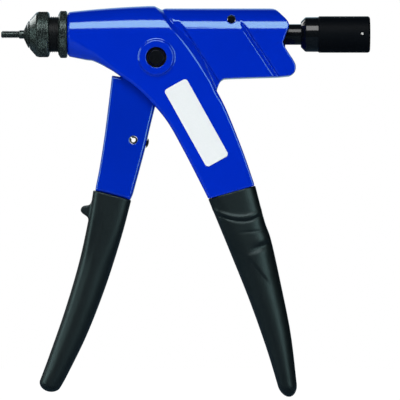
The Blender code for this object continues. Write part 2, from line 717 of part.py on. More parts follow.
def channel_outline():
    """The space between the cheeks: linkage room on top, then the open front of the handle."""
    roof = PIVOT_Z + EYE_RADIUS + EYE_ROOM
    link_roof = LINK_END_RADIUS + LINK_ROOM
    link_end = trunnion_at(LEVER_SWEEP).x + LINK_END_RADIUS + LINK_END_ROOM
    eye_left = PIVOT_X - EYE_RADIUS
    return mm(CHANNEL_FRONT) + [
        (eye_left - FRONT_ROOM_RELIEF, roof), (KNEE.x - FRONT_ROOM_RELIEF, roof),
        (WAY_START_X, link_roof), (link_end, link_roof), (link_end, CHANNEL_CORNER_Z * MM),
    ] + mm(CHANNEL_REAR)


def spindle_way():
    """The stepped bore along the pull axis: nose seat, front way, crosshead way and bush seat."""
    return turned("spindle_way", [
        (BORE_END_X, 0.0), (BORE_END_X, GUIDE_SEAT_RADIUS), (WAY_END_X, GUIDE_SEAT_RADIUS),
        (WAY_END_X, WAY_RADIUS), (WAY_START_X, WAY_RADIUS), (WAY_START_X, FRONT_WAY_RADIUS),
        (SLEEVE_END_X + SEAT_GAP, FRONT_WAY_RADIUS),
        (SLEEVE_END_X + SEAT_GAP, SLEEVE_SEAT_RADIUS),
        (FACE_X - 5 * MM, SLEEVE_SEAT_RADIUS), (FACE_X - 5 * MM, 0.0),
    ])


def bumper_tip(turn):
    """Tip and direction of the lever's bumper when the lever has turned by this angle."""
    direction = Vector((math.cos(BUMPER_ANGLE), math.sin(BUMPER_ANGLE)))
    tip = Vector((BUMPER_X, BUMPER_Z)) + direction * BUMPER_HEIGHT
    pivot = Vector((PIVOT_X, PIVOT_Z))
    swing = Matrix.Rotation(turn, 2)
    return pivot + swing @ (tip - pivot), swing @ direction


def stop_rib():
    """The web in the handle that the bumper meets when the lever is closed."""
    tip, direction = bumper_tip(LEVER_SWEEP)
    middle = tip + direction * (SEAT_GAP + RIB_THICKNESS / 2)
    reach = CHANNEL_HALF + 1 * MM
    turn = math.atan2(direction.y, direction.x)
    return box(
        "stop_rib",
        (middle.x - RIB_THICKNESS / 2, -reach, middle.y - RIB_HEIGHT / 2),
        (middle.x + RIB_THICKNESS / 2, reach, middle.y + RIB_HEIGHT / 2), turn)


def tang(name, front, rear, half, inset, reach):
    """The flat bar inside a grip: the grip's outline drawn in by the inset."""
    shares = [reach * i / TANG_STATIONS for i in range(TANG_STATIONS + 1)]
    left = []
    right = []
    for share in shares:
        a = along(front, share)
        b = along(rear, share)
        across = (b - a).normalized()
        left.append(tuple(a + across * inset))
        right.append(tuple(b - across * inset))
    across = (Vector(right[0]) - Vector(left[0])).normalized()
    up = Vector((-across.y, across.x)) * TANG_ROOT
    left.insert(0, tuple(Vector(left[0]) + up))
    right.insert(0, tuple(Vector(right[0]) + up))
    return plate(name, [left + right[::-1]], -half, half)


def grip_rings(front, rear, top_half, end_half, cap_length, collar=False):
    """Rings of a moulded grip: squarer at the top, rounder below, closed by a rounded end."""
    places = [(i / GRIP_STATIONS, 0.0, 0.0) for i in range(GRIP_STATIONS + 1)]
    if collar:
        for shift, depth in ((-COLLAR_HALF_SHARE, 0.0), (0.0, COLLAR_DEPTH),
                             (COLLAR_HALF_SHARE, 0.0)):
            places.append((COLLAR_SHARE + shift, depth, COLLAR_SAG))
    rings = []
    for share, depth, sag in sorted(places):
        a = along(front, share)
        b = along(rear, share)
        half = top_half + (end_half - top_half) * share - depth
        power = GRIP_TOP_POWER + (GRIP_POWER - GRIP_TOP_POWER) * min(1.0, 4.0 * share)
        rings.append(grip_ring(a, b, half, power, 1.0, sag))
    a = along(front, 1.0)
    b = along(rear, 1.0)
    across = (b - a).normalized()
    down = Vector((across.y, -across.x))
    for i in range(1, CAP_STEPS + 1):
        angle = CAP_SPAN * i / CAP_STEPS
        shift = down * cap_length * math.sin(angle)
        rings.append(grip_ring(a + shift, b + shift, end_half, GRIP_POWER, math.cos(angle)))
    return rings


def grip_ring(a, b, half, power, scale, sag=0.0):
    """One rounded section between the front and rear edges of a grip; sag lowers its flanks."""
    middle = (a + b) / 2
    reach = (b - a) / 2
    across = reach.normalized()
    down = Vector((across.y, -across.x))
    ring = []
    for i in range(RING_POINTS):
        angle = math.tau * i / RING_POINTS
        along_x = math.copysign(abs(math.cos(angle)) ** (2 / power), math.cos(angle))
        along_y = math.copysign(abs(math.sin(angle)) ** (2 / power), math.sin(angle))
        spot = middle + reach * along_x * scale + down * sag * math.sin(angle) ** 2
        ring.append((spot.x, half * along_y * scale, spot.y))
    return ring


FIXED_FRONT_CURVE = smooth(mm(FIXED_GRIP_FRONT), 6)
FIXED_REAR_CURVE = smooth(mm(FIXED_GRIP_REAR), 6)
LEVER_FRONT_CURVE = smooth(mm(LEVER_GRIP_FRONT), 6)
LEVER_REAR_CURVE = smooth(mm(LEVER_GRIP_REAR), 6)
TANG_INSET = GRIP_WALL + SEAT_GAP


def fixed_grip_rings():
    return grip_rings(FIXED_FRONT_CURVE, FIXED_REAR_CURVE,
                      FIXED_GRIP_TOP_HALF, FIXED_GRIP_END_HALF, FIXED_CAP, collar=True)


AXIS_HEIGHT = -min(z for ring in fixed_grip_rings() for _, _, z in ring)


def make_housing(surface, body):
    """Nose, head, rear barrel, fixed handle and tang as one casting."""
    housing = front_block()
    add(housing, nose_block(), rear_barrel())
    for side in (-1, 1):
        faces = sorted((side * BOSS_FACE, side * (CHANNEL_HALF + 1 * MM)))
        end = BOSS_CHAMFER if side > 0 else 0.0
        start = 0.0 if side > 0 else BOSS_CHAMFER
        boss = turned("boss", [
            (faces[1], 0.0), (faces[1], BOSS_RADIUS - end), (faces[1] - end, BOSS_RADIUS),
            (faces[0] + start, BOSS_RADIUS), (faces[0], BOSS_RADIUS - start), (faces[0], 0.0),
        ], "Y", (PIVOT_X, 0.0, PIVOT_Z))
        add(housing, boss)
    cut(housing, plate("channel", [channel_outline()], -CHANNEL_HALF, CHANNEL_HALF))
    add(housing, stop_rib(), tang("fixed_tang", FIXED_FRONT_CURVE, FIXED_REAR_CURVE,
                                  FIXED_TANG_HALF, TANG_INSET, TANG_REACH))
    cut(
        housing,
        spindle_way(),
        turned("pivot_hole", rod(-THROUGH, THROUGH, PIVOT_HOLE_RADIUS), "Y",
               (PIVOT_X, 0.0, PIVOT_Z)),
        turned("stop_pin_hole", rod(-THROUGH, THROUGH, STOP_PIN_HOLE_RADIUS), "Y",
               (STOP_PIN_X, 0.0, STOP_PIN_Z), SMALL_STEPS),
    )
    return keep(housing, "housing", surface, body)


def make_grip(name, rings, tang_shape, surface, body, extra=None):
    """A moulded sleeve over a tang."""
    grip = loft(name, rings)
    if extra is not None:
        add(grip, extra)
    cut(grip, tang_shape)
    return keep(grip, name, surface, body)


def lever_outline():
    """The lever's side outline: blade from the grip up to the eye round the pivot."""
    left = smooth(mm(LEVER_LEFT), OUTLINE_STEPS)
    right = smooth(mm(LEVER_RIGHT), OUTLINE_STEPS)
    eye = arc((PIVOT_X, PIVOT_Z), EYE_RADIUS, -35.0, 205.0, 14)
    seat = grip_seat(LEVER_GRIP_FRONT, LEVER_GRIP_REAR, LEVER_GRIP_STEP, GRIP_STEP)
    return right + eye + mm(LEVER_TOP) + left + seat


def make_lever(surface, body):
    """The lever with its eye, its narrow inner arm and its tang."""
    lever = plate("lever", [lever_outline()], -LEVER_HALF, LEVER_HALF, LEVER_EDGE)
    for side in (-1, 1):
        faces = sorted((side * (CROSSHEAD_HALF + SIDE_GAP / 2), side * (LEVER_HALF + 5 * MM)))
        relief = turned("link_relief", rod(faces[0], faces[1], LINK_END_RADIUS + SIDE_GAP), "Y",
                        (KNEE.x, 0.0, KNEE.y), SMALL_STEPS)
        cut(lever, relief)
    pivot = Vector((PIVOT_X, PIVOT_Z))
    arm_end = KNEE_PIN_RADIUS + ARM_WALL
    direction = math.degrees(ARM_ANGLE)
    arm = arc(KNEE, arm_end, direction - 90, direction + 90, 10)
    root = arc(pivot, EYE_RADIUS - 1 * MM, direction + 90, direction + 270, 10)
    add(lever, plate("knee_arm", [arm + root], -CROSSHEAD_HALF, CROSSHEAD_HALF, ARM_EDGE))
    add(lever, tang("lever_tang", LEVER_FRONT_CURVE, LEVER_REAR_CURVE,
                    LEVER_TANG_HALF, TANG_INSET, TANG_REACH))
    bumper_turn = Matrix.Rotation(-BUMPER_ANGLE, 4, "Y") @ Matrix.Rotation(math.pi / 2, 4, "Y")
    stem_hole = turned("bumper_hole", rod(-BUMPER_STEM_LENGTH - SEAT_GAP, 5 * MM,
                                          BUMPER_STEM_RADIUS + SEAT_GAP), steps=SMALL_STEPS)
    stem_hole.location = (BUMPER_X, 0.0, BUMPER_Z)
    stem_hole.rotation_euler = bumper_turn.to_euler()
    cut(
        lever,
        turned("lever_bore", rod(-THROUGH, THROUGH, LEVER_BORE_RADIUS), "Y",
               (PIVOT_X, 0.0, PIVOT_Z)),
        turned("knee_hole", rod(-THROUGH, THROUGH, KNEE_PIN_RADIUS + RUN_GAP), "Y",
               (KNEE.x, 0.0, KNEE.y), SMALL_STEPS),
        turned("roll_pin_hole", rod(-THROUGH, THROUGH, ROLL_PIN_RADIUS + SEAT_GAP), "Y",
               (ROLL_PIN_X, 0.0, ROLL_PIN_Z), SMALL_STEPS),
        stem_hole,
    )
    return keep(lever, "lever", surface, body)


def make_pivot(steel, bronze, root, lever_body):
    """Pivot pin with its bushes and the ring that keeps it in."""
    at = (PIVOT_X, 0.0, PIVOT_Z)
    near = BOSS_FACE - PIVOT_PIN_RECESS
    groove = PIVOT_PIN_RADIUS - CIRCLIP_GROOVE_DEPTH
    groove_start = BOSS_FACE - BUSH_RECESS + SEAT_GAP
    groove_end = groove_start + CIRCLIP_THICKNESS + 2 * SEAT_GAP
    chamfer = 0.7 * MM
    pin = turned("pin", [
        (groove_end + CHAMFER, 0.0), (groove_end + CHAMFER, PIVOT_PIN_RADIUS - CHAMFER / 2),
        (groove_end + CHAMFER / 2, PIVOT_PIN_RADIUS), (groove_end, PIVOT_PIN_RADIUS),
        (groove_end, groove), (groove_start, groove), (groove_start, PIVOT_PIN_RADIUS),
        (-near + chamfer, PIVOT_PIN_RADIUS), (-near, PIVOT_PIN_RADIUS - chamfer), (-near, 0.0),
    ], "Y", at)
    keep(pin, "pivot_pin", steel, root)
    bore = PIVOT_PIN_RADIUS + RUN_GAP
    inner = CHANNEL_HALF + SEAT_GAP
    outer = BOSS_FACE - BUSH_RECESS
    for name, start, end in (("pivot_bush_near", -outer, -inner), ("pivot_bush_far", inner, outer)):
        keep(turned(name, tube(start, end, BUSH_RADIUS, bore), "Y", at), name, bronze, root)
    lever_bush = turned("lever_bush", tube(-LEVER_HALF, LEVER_HALF, LEVER_BUSH_RADIUS, bore), "Y", at)
    keep(lever_bush, "lever_bush", bronze, lever_body)
    ring_start = groove_start + SEAT_GAP
    ring_outer = PIVOT_HOLE_RADIUS - SEAT_GAP
    gap_half = 22.0
    ring_bore = groove + RUN_GAP
    outside = arc((PIVOT_X, PIVOT_Z), ring_outer, 270 + gap_half, 630 - gap_half, 18)
    inside = arc((PIVOT_X, PIVOT_Z), ring_bore, 630 - gap_half, 270 + gap_half, 18)
    ring = plate("circlip", [outside + inside], ring_start, ring_start + CIRCLIP_THICKNESS)
    keep(ring, "pivot_circlip", steel, root)


def make_links(steel, body, lever_body):
    """Two toggle links and the knee pin that joins them to the lever's arm."""
    direction = TRUNNION - KNEE
    angle = math.degrees(math.atan2(direction.y, direction.x))
    outline = (
        arc(KNEE, LINK_END_RADIUS, angle + 90, angle + 270, 10)
        + arc(TRUNNION, LINK_END_RADIUS, angle - 90, angle + 90, 10)
    )
    knee_hole = circle(KNEE, KNEE_PIN_RADIUS + RUN_GAP, SMALL_STEPS)
    trunnion_hole = circle(TRUNNION, KNEE_PIN_RADIUS + TRUNNION_CLEARANCE, SMALL_STEPS)
    for name, side in (("link_near", -1), ("link_far", 1)):
        faces = sorted((side * LINK_INNER, side * LINK_OUTER))
        link = plate(name, [outline, knee_hole, trunnion_hole], faces[0], faces[1])
        keep(link, name, steel, body)
    reach = CHANNEL_HALF - SIDE_GAP
    pin = turned("knee", rod(-reach, reach, KNEE_PIN_RADIUS, CHAMFER), "Y",
                 (KNEE.x, 0.0, KNEE.y), SMALL_STEPS)
    keep(pin, "knee_pin", steel, lever_body)


def make_crosshead(surface, body):
    """The slide on the pull axis: block with two trunnions and the spring's flange."""
    front = TRUNNION.x - CROSSHEAD_FRONT
    height = CROSSHEAD_HALF_HEIGHT
    chamfer = CROSSHEAD_CHAMFER
    outline = [
        (front, -height + chamfer), (front + chamfer, -height),
        (FLANGE_FRONT_X + 1 * MM, -height), (FLANGE_FRONT_X + 1 * MM, height),
        (front + chamfer, height), (front, height - chamfer),
    ]
    crosshead = plate("crosshead", [outline], -CROSSHEAD_HALF, CROSSHEAD_HALF)
    add(
        crosshead,
        turned("flange", rod(FLANGE_FRONT_X, FLANGE_REAR_X, FLANGE_RADIUS, CHAMFER)),
        turned("trunnions", rod(SIDE_GAP - CHANNEL_HALF, CHANNEL_HALF - SIDE_GAP,
                                KNEE_PIN_RADIUS, CHAMFER), "Y", (TRUNNION.x, 0.0, 0.0),
               SMALL_STEPS),
    )
    slot_floor = STOP_PIN_Z - STOP_PIN_RADIUS - SEAT_GAP
    cut(
        crosshead,
        box("stop_slot", (SLOT_FRONT_X, -THROUGH, slot_floor), (SLOT_REAR_X, THROUGH, THROUGH)),
        turned("crosshead_bore", rod(front - THROUGH, FLANGE_REAR_X + THROUGH,
                                     SPINDLE_BORE_RADIUS)),
    )
    return keep(crosshead, "crosshead", surface, body)


def make_thrust_bearing(steel, bronze, slide_body, spindle_body):
    """Two washers with a caged ring of balls between them, round the spindle."""
    bore = SPINDLE_BORE_RADIUS
    for name, start, body in (
        ("thrust_washer_front", FRONT_WASHER_X, slide_body),
        ("thrust_washer_rear", REAR_WASHER_X, spindle_body),
    ):
        washer = turned(name, tube(start, start + WASHER_THICKNESS, WASHER_RADIUS, bore))
        keep(washer, name, steel, body)
    cage = turned("cage", tube(BALL_X - CAGE_THICKNESS / 2, BALL_X + CAGE_THICKNESS / 2,
                               WASHER_RADIUS - SEAT_GAP, bore))
    ball_forms = bmesh.new()
    bmesh.ops.create_uvsphere(ball_forms, u_segments=8, v_segments=6, radius=BALL_RADIUS)
    ball_mesh = bpy.data.meshes.new("bearing_ball")
    finish_mesh(ball_mesh, ball_forms)
    pockets = bmesh.new()
    for i in range(BALL_COUNT):
        angle = math.tau * i / BALL_COUNT
        spot = Vector((BALL_X, BALL_CIRCLE_RADIUS * math.cos(angle),
                       BALL_CIRCLE_RADIUS * math.sin(angle)))
        bmesh.ops.create_cone(
            pockets, cap_ends=True, segments=8, depth=2 * CAGE_THICKNESS,
            radius1=BALL_RADIUS + SEAT_GAP, radius2=BALL_RADIUS + SEAT_GAP,
            matrix=Matrix.Translation(spot) @ Matrix.Rotation(math.pi / 2, 4, "Y"))
        ball = place("ball", ball_mesh)
        ball.location = spot
        keep(ball, "bearing_ball_" + str(i + 1), steel, slide_body)
    pocket_mesh = bpy.data.meshes.new("ball_pockets")
    finish_mesh(pocket_mesh, pockets)
    cut(cage, place("ball_pockets", pocket_mesh))
    keep(cage, "ball_cage", bronze, slide_body)


def make_spring(steel, root):
    """The return spring between the crosshead's flange and the rear bush."""
    start = FLANGE_REAR_X + SEAT_GAP + SPRING_WIRE_RADIUS
    end = GUIDE_FRONT_X - SEAT_GAP - SPRING_WIRE_RADIUS
    curve = bpy.data.curves.new("spring", "CURVE")
    curve.dimensions = "3D"
    curve.bevel_depth = SPRING_WIRE_RADIUS
    curve.bevel_resolution = 2
    curve.use_fill_caps = True
    count = SPRING_TURNS * SPRING_STEPS
    spline = curve.splines.new("POLY")
    spline.points.add(count)
    for i, point in enumerate(spline.points):
        angle = math.tau * SPRING_TURNS * i / count
        x = start + (end - start) * i / count
        point.co = (x, SPRING_RADIUS * math.cos(angle), SPRING_RADIUS * math.sin(angle), 1.0)
    wire = place("spring_wire", curve)
    bpy.context.view_layer.update()
    mesh = bpy.data.meshes.new_from_object(
        wire.evaluated_get(bpy.context.evaluated_depsgraph_get()))
    bpy.data.objects.remove(wire)
    forms = bmesh.new()
    forms.from_mesh(mesh)
    finish_mesh(mesh, forms)
    keep(place("spring", mesh), "return_spring", steel, root)


def make_rear_fittings(bronze, steel, root):
    """The spindle's rear bush and the cross pin that stops and guides the crosshead."""
    bore = SHAFT_RADIUS + RUN_GAP
    body_start = WAY_END_X - SEAT_GAP
    bush = turned("guide", [
        (body_start + GUIDE_LENGTH, GUIDE_RADIUS), (body_start, GUIDE_RADIUS),
        (body_start, GUIDE_FLANGE_RADIUS), (GUIDE_FRONT_X, GUIDE_FLANGE_RADIUS),
        (GUIDE_FRONT_X, bore), (body_start + GUIDE_LENGTH, bore),
    ])
    keep(bush, "rear_guide_bush", bronze, root)
    reach = math.sqrt(REAR_RADIUS ** 2 - STOP_PIN_Z ** 2) - STOP_PIN_SINK
    pin = turned("stop", rod(-reach, reach, STOP_PIN_RADIUS, CHAMFER), "Y",
                 (STOP_PIN_X, 0.0, STOP_PIN_Z), SMALL_STEPS)
    keep(pin, "stop_pin", steel, root)


def make_spindle(steel, black_steel, black, body):
    """Spindle, mandrel holder, mandrel, knob and knob pin, which all turn together."""
    mandrel_end = MANDREL_HEAD_X + MANDREL_HEAD_LENGTH
    shank_x = MANDREL_TIP_X + THREAD_LENGTH
    mandrel = turned("mandrel", [
        (mandrel_end, 0.0), (mandrel_end, MANDREL_HEAD_RADIUS),
        (MANDREL_HEAD_X, MANDREL_HEAD_RADIUS), (MANDREL_HEAD_X, MANDREL_RADIUS),
        (shank_x, MANDREL_RADIUS), (shank_x, THREAD_RADIUS),
        (MANDREL_TIP_X + CHAMFER, THREAD_RADIUS), (MANDREL_TIP_X, THREAD_RADIUS - CHAMFER),
        (MANDREL_TIP_X, 0.0),
    ], steps=SMALL_STEPS)
    keep(mandrel, "mandrel", black_steel, body)
    pocket = MANDREL_HEAD_RADIUS + SEAT_GAP
    pocket_end = SPINDLE_FRONT_X - SEAT_GAP
    rear_bore = min(SPINDLE_RADIUS + SEAT_GAP, pocket)
    holder = turned("holder", [
        (HOLDER_END_X, HOLDER_RADIUS - CHAMFER), (HOLDER_END_X - CHAMFER, HOLDER_RADIUS),
        (HOLDER_FRONT_X + CHAMFER, HOLDER_RADIUS), (HOLDER_FRONT_X, HOLDER_RADIUS - CHAMFER),
        (HOLDER_FRONT_X, MANDREL_RADIUS + SEAT_GAP),
        (HOLDER_FRONT_X + HOLDER_FRONT_WALL, MANDREL_RADIUS + SEAT_GAP),
        (HOLDER_FRONT_X + HOLDER_FRONT_WALL, pocket), (pocket_end, pocket),
        (pocket_end + SKIN, rear_bore), (HOLDER_END_X, rear_bore),
    ])
    keep(holder, "mandrel_holder", steel, body)
    shaft = turned("shaft", [
        (SHAFT_END_X, 0.0), (SHAFT_END_X, SHAFT_RADIUS - CHAMFER),
        (SHAFT_END_X - CHAMFER, SHAFT_RADIUS), (COLLAR_X + COLLAR_LENGTH, SHAFT_RADIUS),
        (COLLAR_X + COLLAR_LENGTH, COLLAR_RADIUS), (COLLAR_X, COLLAR_RADIUS),
        (COLLAR_X, SPINDLE_RADIUS), (SPINDLE_FRONT_X, SPINDLE_RADIUS), (SPINDLE_FRONT_X, 0.0),
    ])
    pin_hole = rod(-THROUGH, THROUGH, KNOB_PIN_RADIUS + SEAT_GAP)
    cut(shaft, turned("shaft_pin_hole", pin_hole, "Y", (KNOB_PIN_X, 0.0, 0.0), SMALL_STEPS))
    keep(shaft, "spindle_shaft", black_steel, body)
    bore = SHAFT_RADIUS + SEAT_GAP
    neck_end = KNOB_FRONT_X + KNOB_NECK_LENGTH
    corner = [(KNOB_END_X - KNOB_CORNER + x, KNOB_RADIUS - KNOB_CORNER + r)
              for x, r in arc((0.0, 0.0), KNOB_CORNER, 0.0, 90.0, 4)]
    knob = turned("grip_knob", [(KNOB_END_X, 0.0)] + corner + [
        (neck_end, KNOB_RADIUS), (neck_end - SEAT_GAP, KNOB_NECK_RADIUS),
        (KNOB_FRONT_X + KNOB_CHAMFER_LENGTH, KNOB_NECK_RADIUS), (KNOB_FRONT_X, KNOB_FACE_RADIUS),
        (KNOB_FRONT_X, bore), (SHAFT_END_X + SEAT_GAP, bore), (SHAFT_END_X + SEAT_GAP, 0.0),
    ])
    cut(knob, turned("knob_pin_hole", pin_hole, "Y", (KNOB_PIN_X, 0.0, 0.0), SMALL_STEPS))
    keep(knob, "knob", black, body)
    reach = KNOB_RADIUS - SEAT_GAP
    pin = turned("pin", rod(-reach, reach, KNOB_PIN_RADIUS, CHAMFER / 2), "Y",
                 (KNOB_PIN_X, 0.0, 0.0), SMALL_STEPS)
    keep(pin, "knob_pin", steel, body)


def make_nose(black_steel, nut_body, lock_body, root):
    """Sleeve, lock nut, nose nut and anvil."""
    sleeve = turned("sleeve", tube(SLEEVE_FRONT_X, SLEEVE_END_X, SLEEVE_RADIUS,
                                   SLEEVE_BORE_RADIUS, CHAMFER))
    keep(sleeve, "nose_sleeve", black_steel, root)
    bore = SLEEVE_RADIUS + SEAT_GAP
    lock_start = LOCK_NUT_END_X - LOCK_NUT_LENGTH
    lock = turned("lock", [
        (LOCK_NUT_END_X, LOCK_NUT_RADIUS - CHAMFER), (LOCK_NUT_END_X - CHAMFER, LOCK_NUT_RADIUS),
        (lock_start + NUT_CHAMFER, LOCK_NUT_RADIUS),
        (lock_start, LOCK_NUT_RADIUS - 2 * NUT_CHAMFER), (lock_start, bore),
        (LOCK_NUT_END_X, bore),
    ])
    keep(lock, "lock_nut", black_steel, lock_body)
    nut_end = NOSE_NUT_FRONT_X + NOSE_NUT_LENGTH
    cone_end = NOSE_NUT_FRONT_X + NOSE_CONE_LENGTH - NUT_CHAMFER
    nut = turned("nut", [
        (nut_end, NOSE_NUT_NECK_RADIUS), (nut_end - NUT_CHAMFER, NOSE_NUT_RADIUS - 2 * CHAMFER),
        (nut_end - 2 * NUT_CHAMFER, NOSE_NUT_RADIUS),
        (cone_end + NUT_CHAMFER, NOSE_NUT_RADIUS), (cone_end, NOSE_NUT_RADIUS - CHAMFER),
        (NOSE_NUT_FRONT_X + SEAT_GAP, ANVIL_RADIUS + SEAT_GAP),
        (NOSE_NUT_FRONT_X, ANVIL_RADIUS - NOSE_SEAM_DEPTH),
        (NOSE_NUT_FRONT_X, ANVIL_TAIL_RADIUS + SEAT_GAP),
        (NOSE_NUT_FRONT_X + NOSE_NUT_WALL, ANVIL_TAIL_RADIUS + SEAT_GAP),
        (NOSE_NUT_FRONT_X + NOSE_NUT_WALL, bore), (nut_end, bore),
    ])
    keep(nut, "nose_nut", black_steel, nut_body)
    head_end = ANVIL_FRONT_X + ANVIL_HEAD_LENGTH
    tail_end = head_end + ANVIL_TAIL_LENGTH
    dome = [
        (head_end - ANVIL_HEAD_LENGTH * ANVIL_DOME_SHARE * (1 - math.cos(a)),
         ANVIL_FACE_RADIUS + (ANVIL_RADIUS - ANVIL_FACE_RADIUS) * math.cos(a) ** ANVIL_DOME_CURVE)
        for a in (math.radians(15.0 * i) for i in range(6))
    ]
    anvil_bore = MANDREL_RADIUS + SEAT_GAP
    anvil = turned("anvil", [
        (tail_end, ANVIL_TAIL_RADIUS - CHAMFER), (tail_end - CHAMFER, ANVIL_TAIL_RADIUS),
        (head_end, ANVIL_TAIL_RADIUS)] + dome + [
        (ANVIL_FRONT_X, ANVIL_FACE_RADIUS), (ANVIL_FRONT_X, anvil_bore), (tail_end, anvil_bore),
    ])
    keep(anvil, "anvil", black_steel, nut_body)


def make_lever_fittings(steel, rubber, body):
    """Slotted pin and rubber bumper of the lever."""
    inner = ROLL_PIN_RADIUS - ROLL_PIN_WALL
    slit = math.degrees(ROLL_PIN_SLIT / ROLL_PIN_RADIUS) / 2
    middle = ROLL_PIN_SLIT_ANGLE
    at = (ROLL_PIN_X, ROLL_PIN_Z)
    outside = arc(at, ROLL_PIN_RADIUS, middle + slit, middle + 360 - slit, SMALL_STEPS)
    inside = arc(at, inner, middle + 360 - slit, middle + slit, SMALL_STEPS)
    reach = LEVER_HALF - SEAT_GAP
    keep(plate("roll_pin", [outside + inside], -reach, reach), "lever_roll_pin", steel, body)
    dome = [(BUMPER_HEIGHT * math.sin(a), BUMPER_RADIUS * math.cos(a))
            for a in (math.radians(90 - 15 * i) for i in range(1, 7))]
    bumper = turned("bumper", [(BUMPER_HEIGHT, 0.0)] + dome[:-1] + [
        (SEAT_GAP, BUMPER_RADIUS), (SEAT_GAP, BUMPER_STEM_RADIUS),
        (-BUMPER_STEM_LENGTH, BUMPER_STEM_RADIUS), (-BUMPER_STEM_LENGTH, 0.0),
    ], steps=SMALL_STEPS)
    bumper.location = (BUMPER_X, 0.0, BUMPER_Z)
    turn = Matrix.Rotation(-BUMPER_ANGLE, 4, "Y") @ Matrix.Rotation(math.pi / 2, 4, "Y")
    bumper.rotation_euler = turn.to_euler()
    keep(bumper, "stop_bumper", rubber, body)


def make_label(surface, root):
    """The bare label on the near flank of the handle."""
    half_length = LABEL_LENGTH / 2 - LABEL_CORNER
    half_width = LABEL_WIDTH / 2 - LABEL_CORNER
    loop = []
    for (sx, sz), start in (((1, 1), 0.0), ((-1, 1), 90.0), ((-1, -1), 180.0), ((1, -1), 270.0)):
        loop += arc((sx * half_width, sz * half_length), LABEL_CORNER, start, start + 90, 5)
    label = plate("label", [loop], 0.0, LABEL_THICKNESS)
    slope = flank_slope()
    depth = flank(LABEL_X, LABEL_Z) + SEAT_GAP + LABEL_THICKNESS
    place_it = (
        Matrix.Translation((LABEL_X, -depth, LABEL_Z))
        @ Matrix.Rotation(slope, 4, "X") @ Matrix.Rotation(-LABEL_LEAN, 4, "Y")
    )
    label.data.transform(place_it)
    keep(label, "label_plate", surface, root)


def flank_slope():
    """Lean of the handle's flanks that the draft gives."""
    return math.atan(DRAFT * (BROW_RADIUS - 2 * SKIN) / BROW_RADIUS)


def build():
    bpy.context.scene.collection.children.link(TOOL)
    bpy.context.scene.collection.children.link(SHAPES)
    TOOL.objects.link(FRAME)
    FRAME.location = (0.0, 0.0, AXIS_HEIGHT)

    blue = material("blue_paint", srgb(1, 42, 186), 0.3)
    black_steel = material("black_steel", srgb(40, 47, 47), 0.4, 0.8)
    steel = material("steel", srgb(150, 152, 155), 0.35, 1.0)
    bronze = material("bronze", srgb(150, 116, 70), 0.4, 1.0)
    plastic = material("black_grip", srgb(20, 25, 28), 0.55)
    knob_black = material("knob_black", srgb(12, 15, 19), 0.4)
    rubber = material("rubber", srgb(14, 15, 16), 0.7)
    white = material("label_white", srgb(232, 238, 240), 0.4)

    root = FRAME
    lever_body = carrier("lever_axis", PIVOT_X, PIVOT_Z, root)
    link_body = carrier("link_axis", KNEE.x, KNEE.y, lever_body)
    slide_body = carrier("crosshead_axis", TRUNNION.x, 0.0, root)
    spindle_body = carrier("spindle_axis", COLLAR_X, 0.0, slide_body)
    nut_body = carrier("nose_nut_axis", NOSE_NUT_FRONT_X, 0.0, root)
    lock_body = carrier("lock_nut_axis", LOCK_NUT_END_X, 0.0, root)

    make_housing(blue, root)
    make_nose(black_steel, nut_body, lock_body, root)
    make_spindle(steel, black_steel, knob_black, spindle_body)
    make_crosshead(steel, slide_body)
    make_thrust_bearing(steel, bronze, slide_body, spindle_body)
    make_spring(steel, root)
    make_rear_fittings(bronze, steel, root)
    make_pivot(black_steel, bronze, root, lever_body)
    make_links(steel, link_body, lever_body)
    make_lever(blue, lever_body)
    make_lever_fittings(steel, rubber, lever_body)
    fixed_cavity = tang("fixed_cavity", FIXED_FRONT_CURVE, FIXED_REAR_CURVE,
                        FIXED_TANG_HALF + SEAT_GAP, GRIP_WALL, CAVITY_REACH)
    make_grip("fixed_grip", fixed_grip_rings(), fixed_cavity, plastic, root)
    lever_cavity = tang("lever_cavity", LEVER_FRONT_CURVE, LEVER_REAR_CURVE,
                        LEVER_TANG_HALF + SEAT_GAP, GRIP_WALL, CAVITY_REACH)
    lever_rings = grip_rings(LEVER_FRONT_CURVE, LEVER_REAR_CURVE,
                             LEVER_GRIP_TOP_HALF, LEVER_GRIP_END_HALF, LEVER_CAP)
    guard = plate("guard", [smooth(mm(GUARD), OUTLINE_STEPS)[::-1]],
                  -GUARD_HALF, GUARD_HALF, GUARD_EDGE)
    make_grip("lever_grip", lever_rings, lever_cavity, plastic, lever_body, guard)
    make_label(white, root)
    bpy.context.view_layer.update()


build()
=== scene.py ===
# %% [markdown]
# # A hand lever tool for rivet nuts
#
# The tool is a painted cast housing with a squeeze lever, a screwed nose with a threaded mandrel
# and a knob that turns it. The solid model already holds every piece at its real size. This lesson
# loads it as a frame, makes finer skins for what shows, gives every piece a finish made of nodes,
# and lights it like a catalogue picture. Sizes are in millimetres in the tool's own frame, with
# zero on the pull axis, and become metres when a mesh is made.

import json
import math

import bmesh
import bpy
import numpy as np
from mathutils import Matrix, Vector

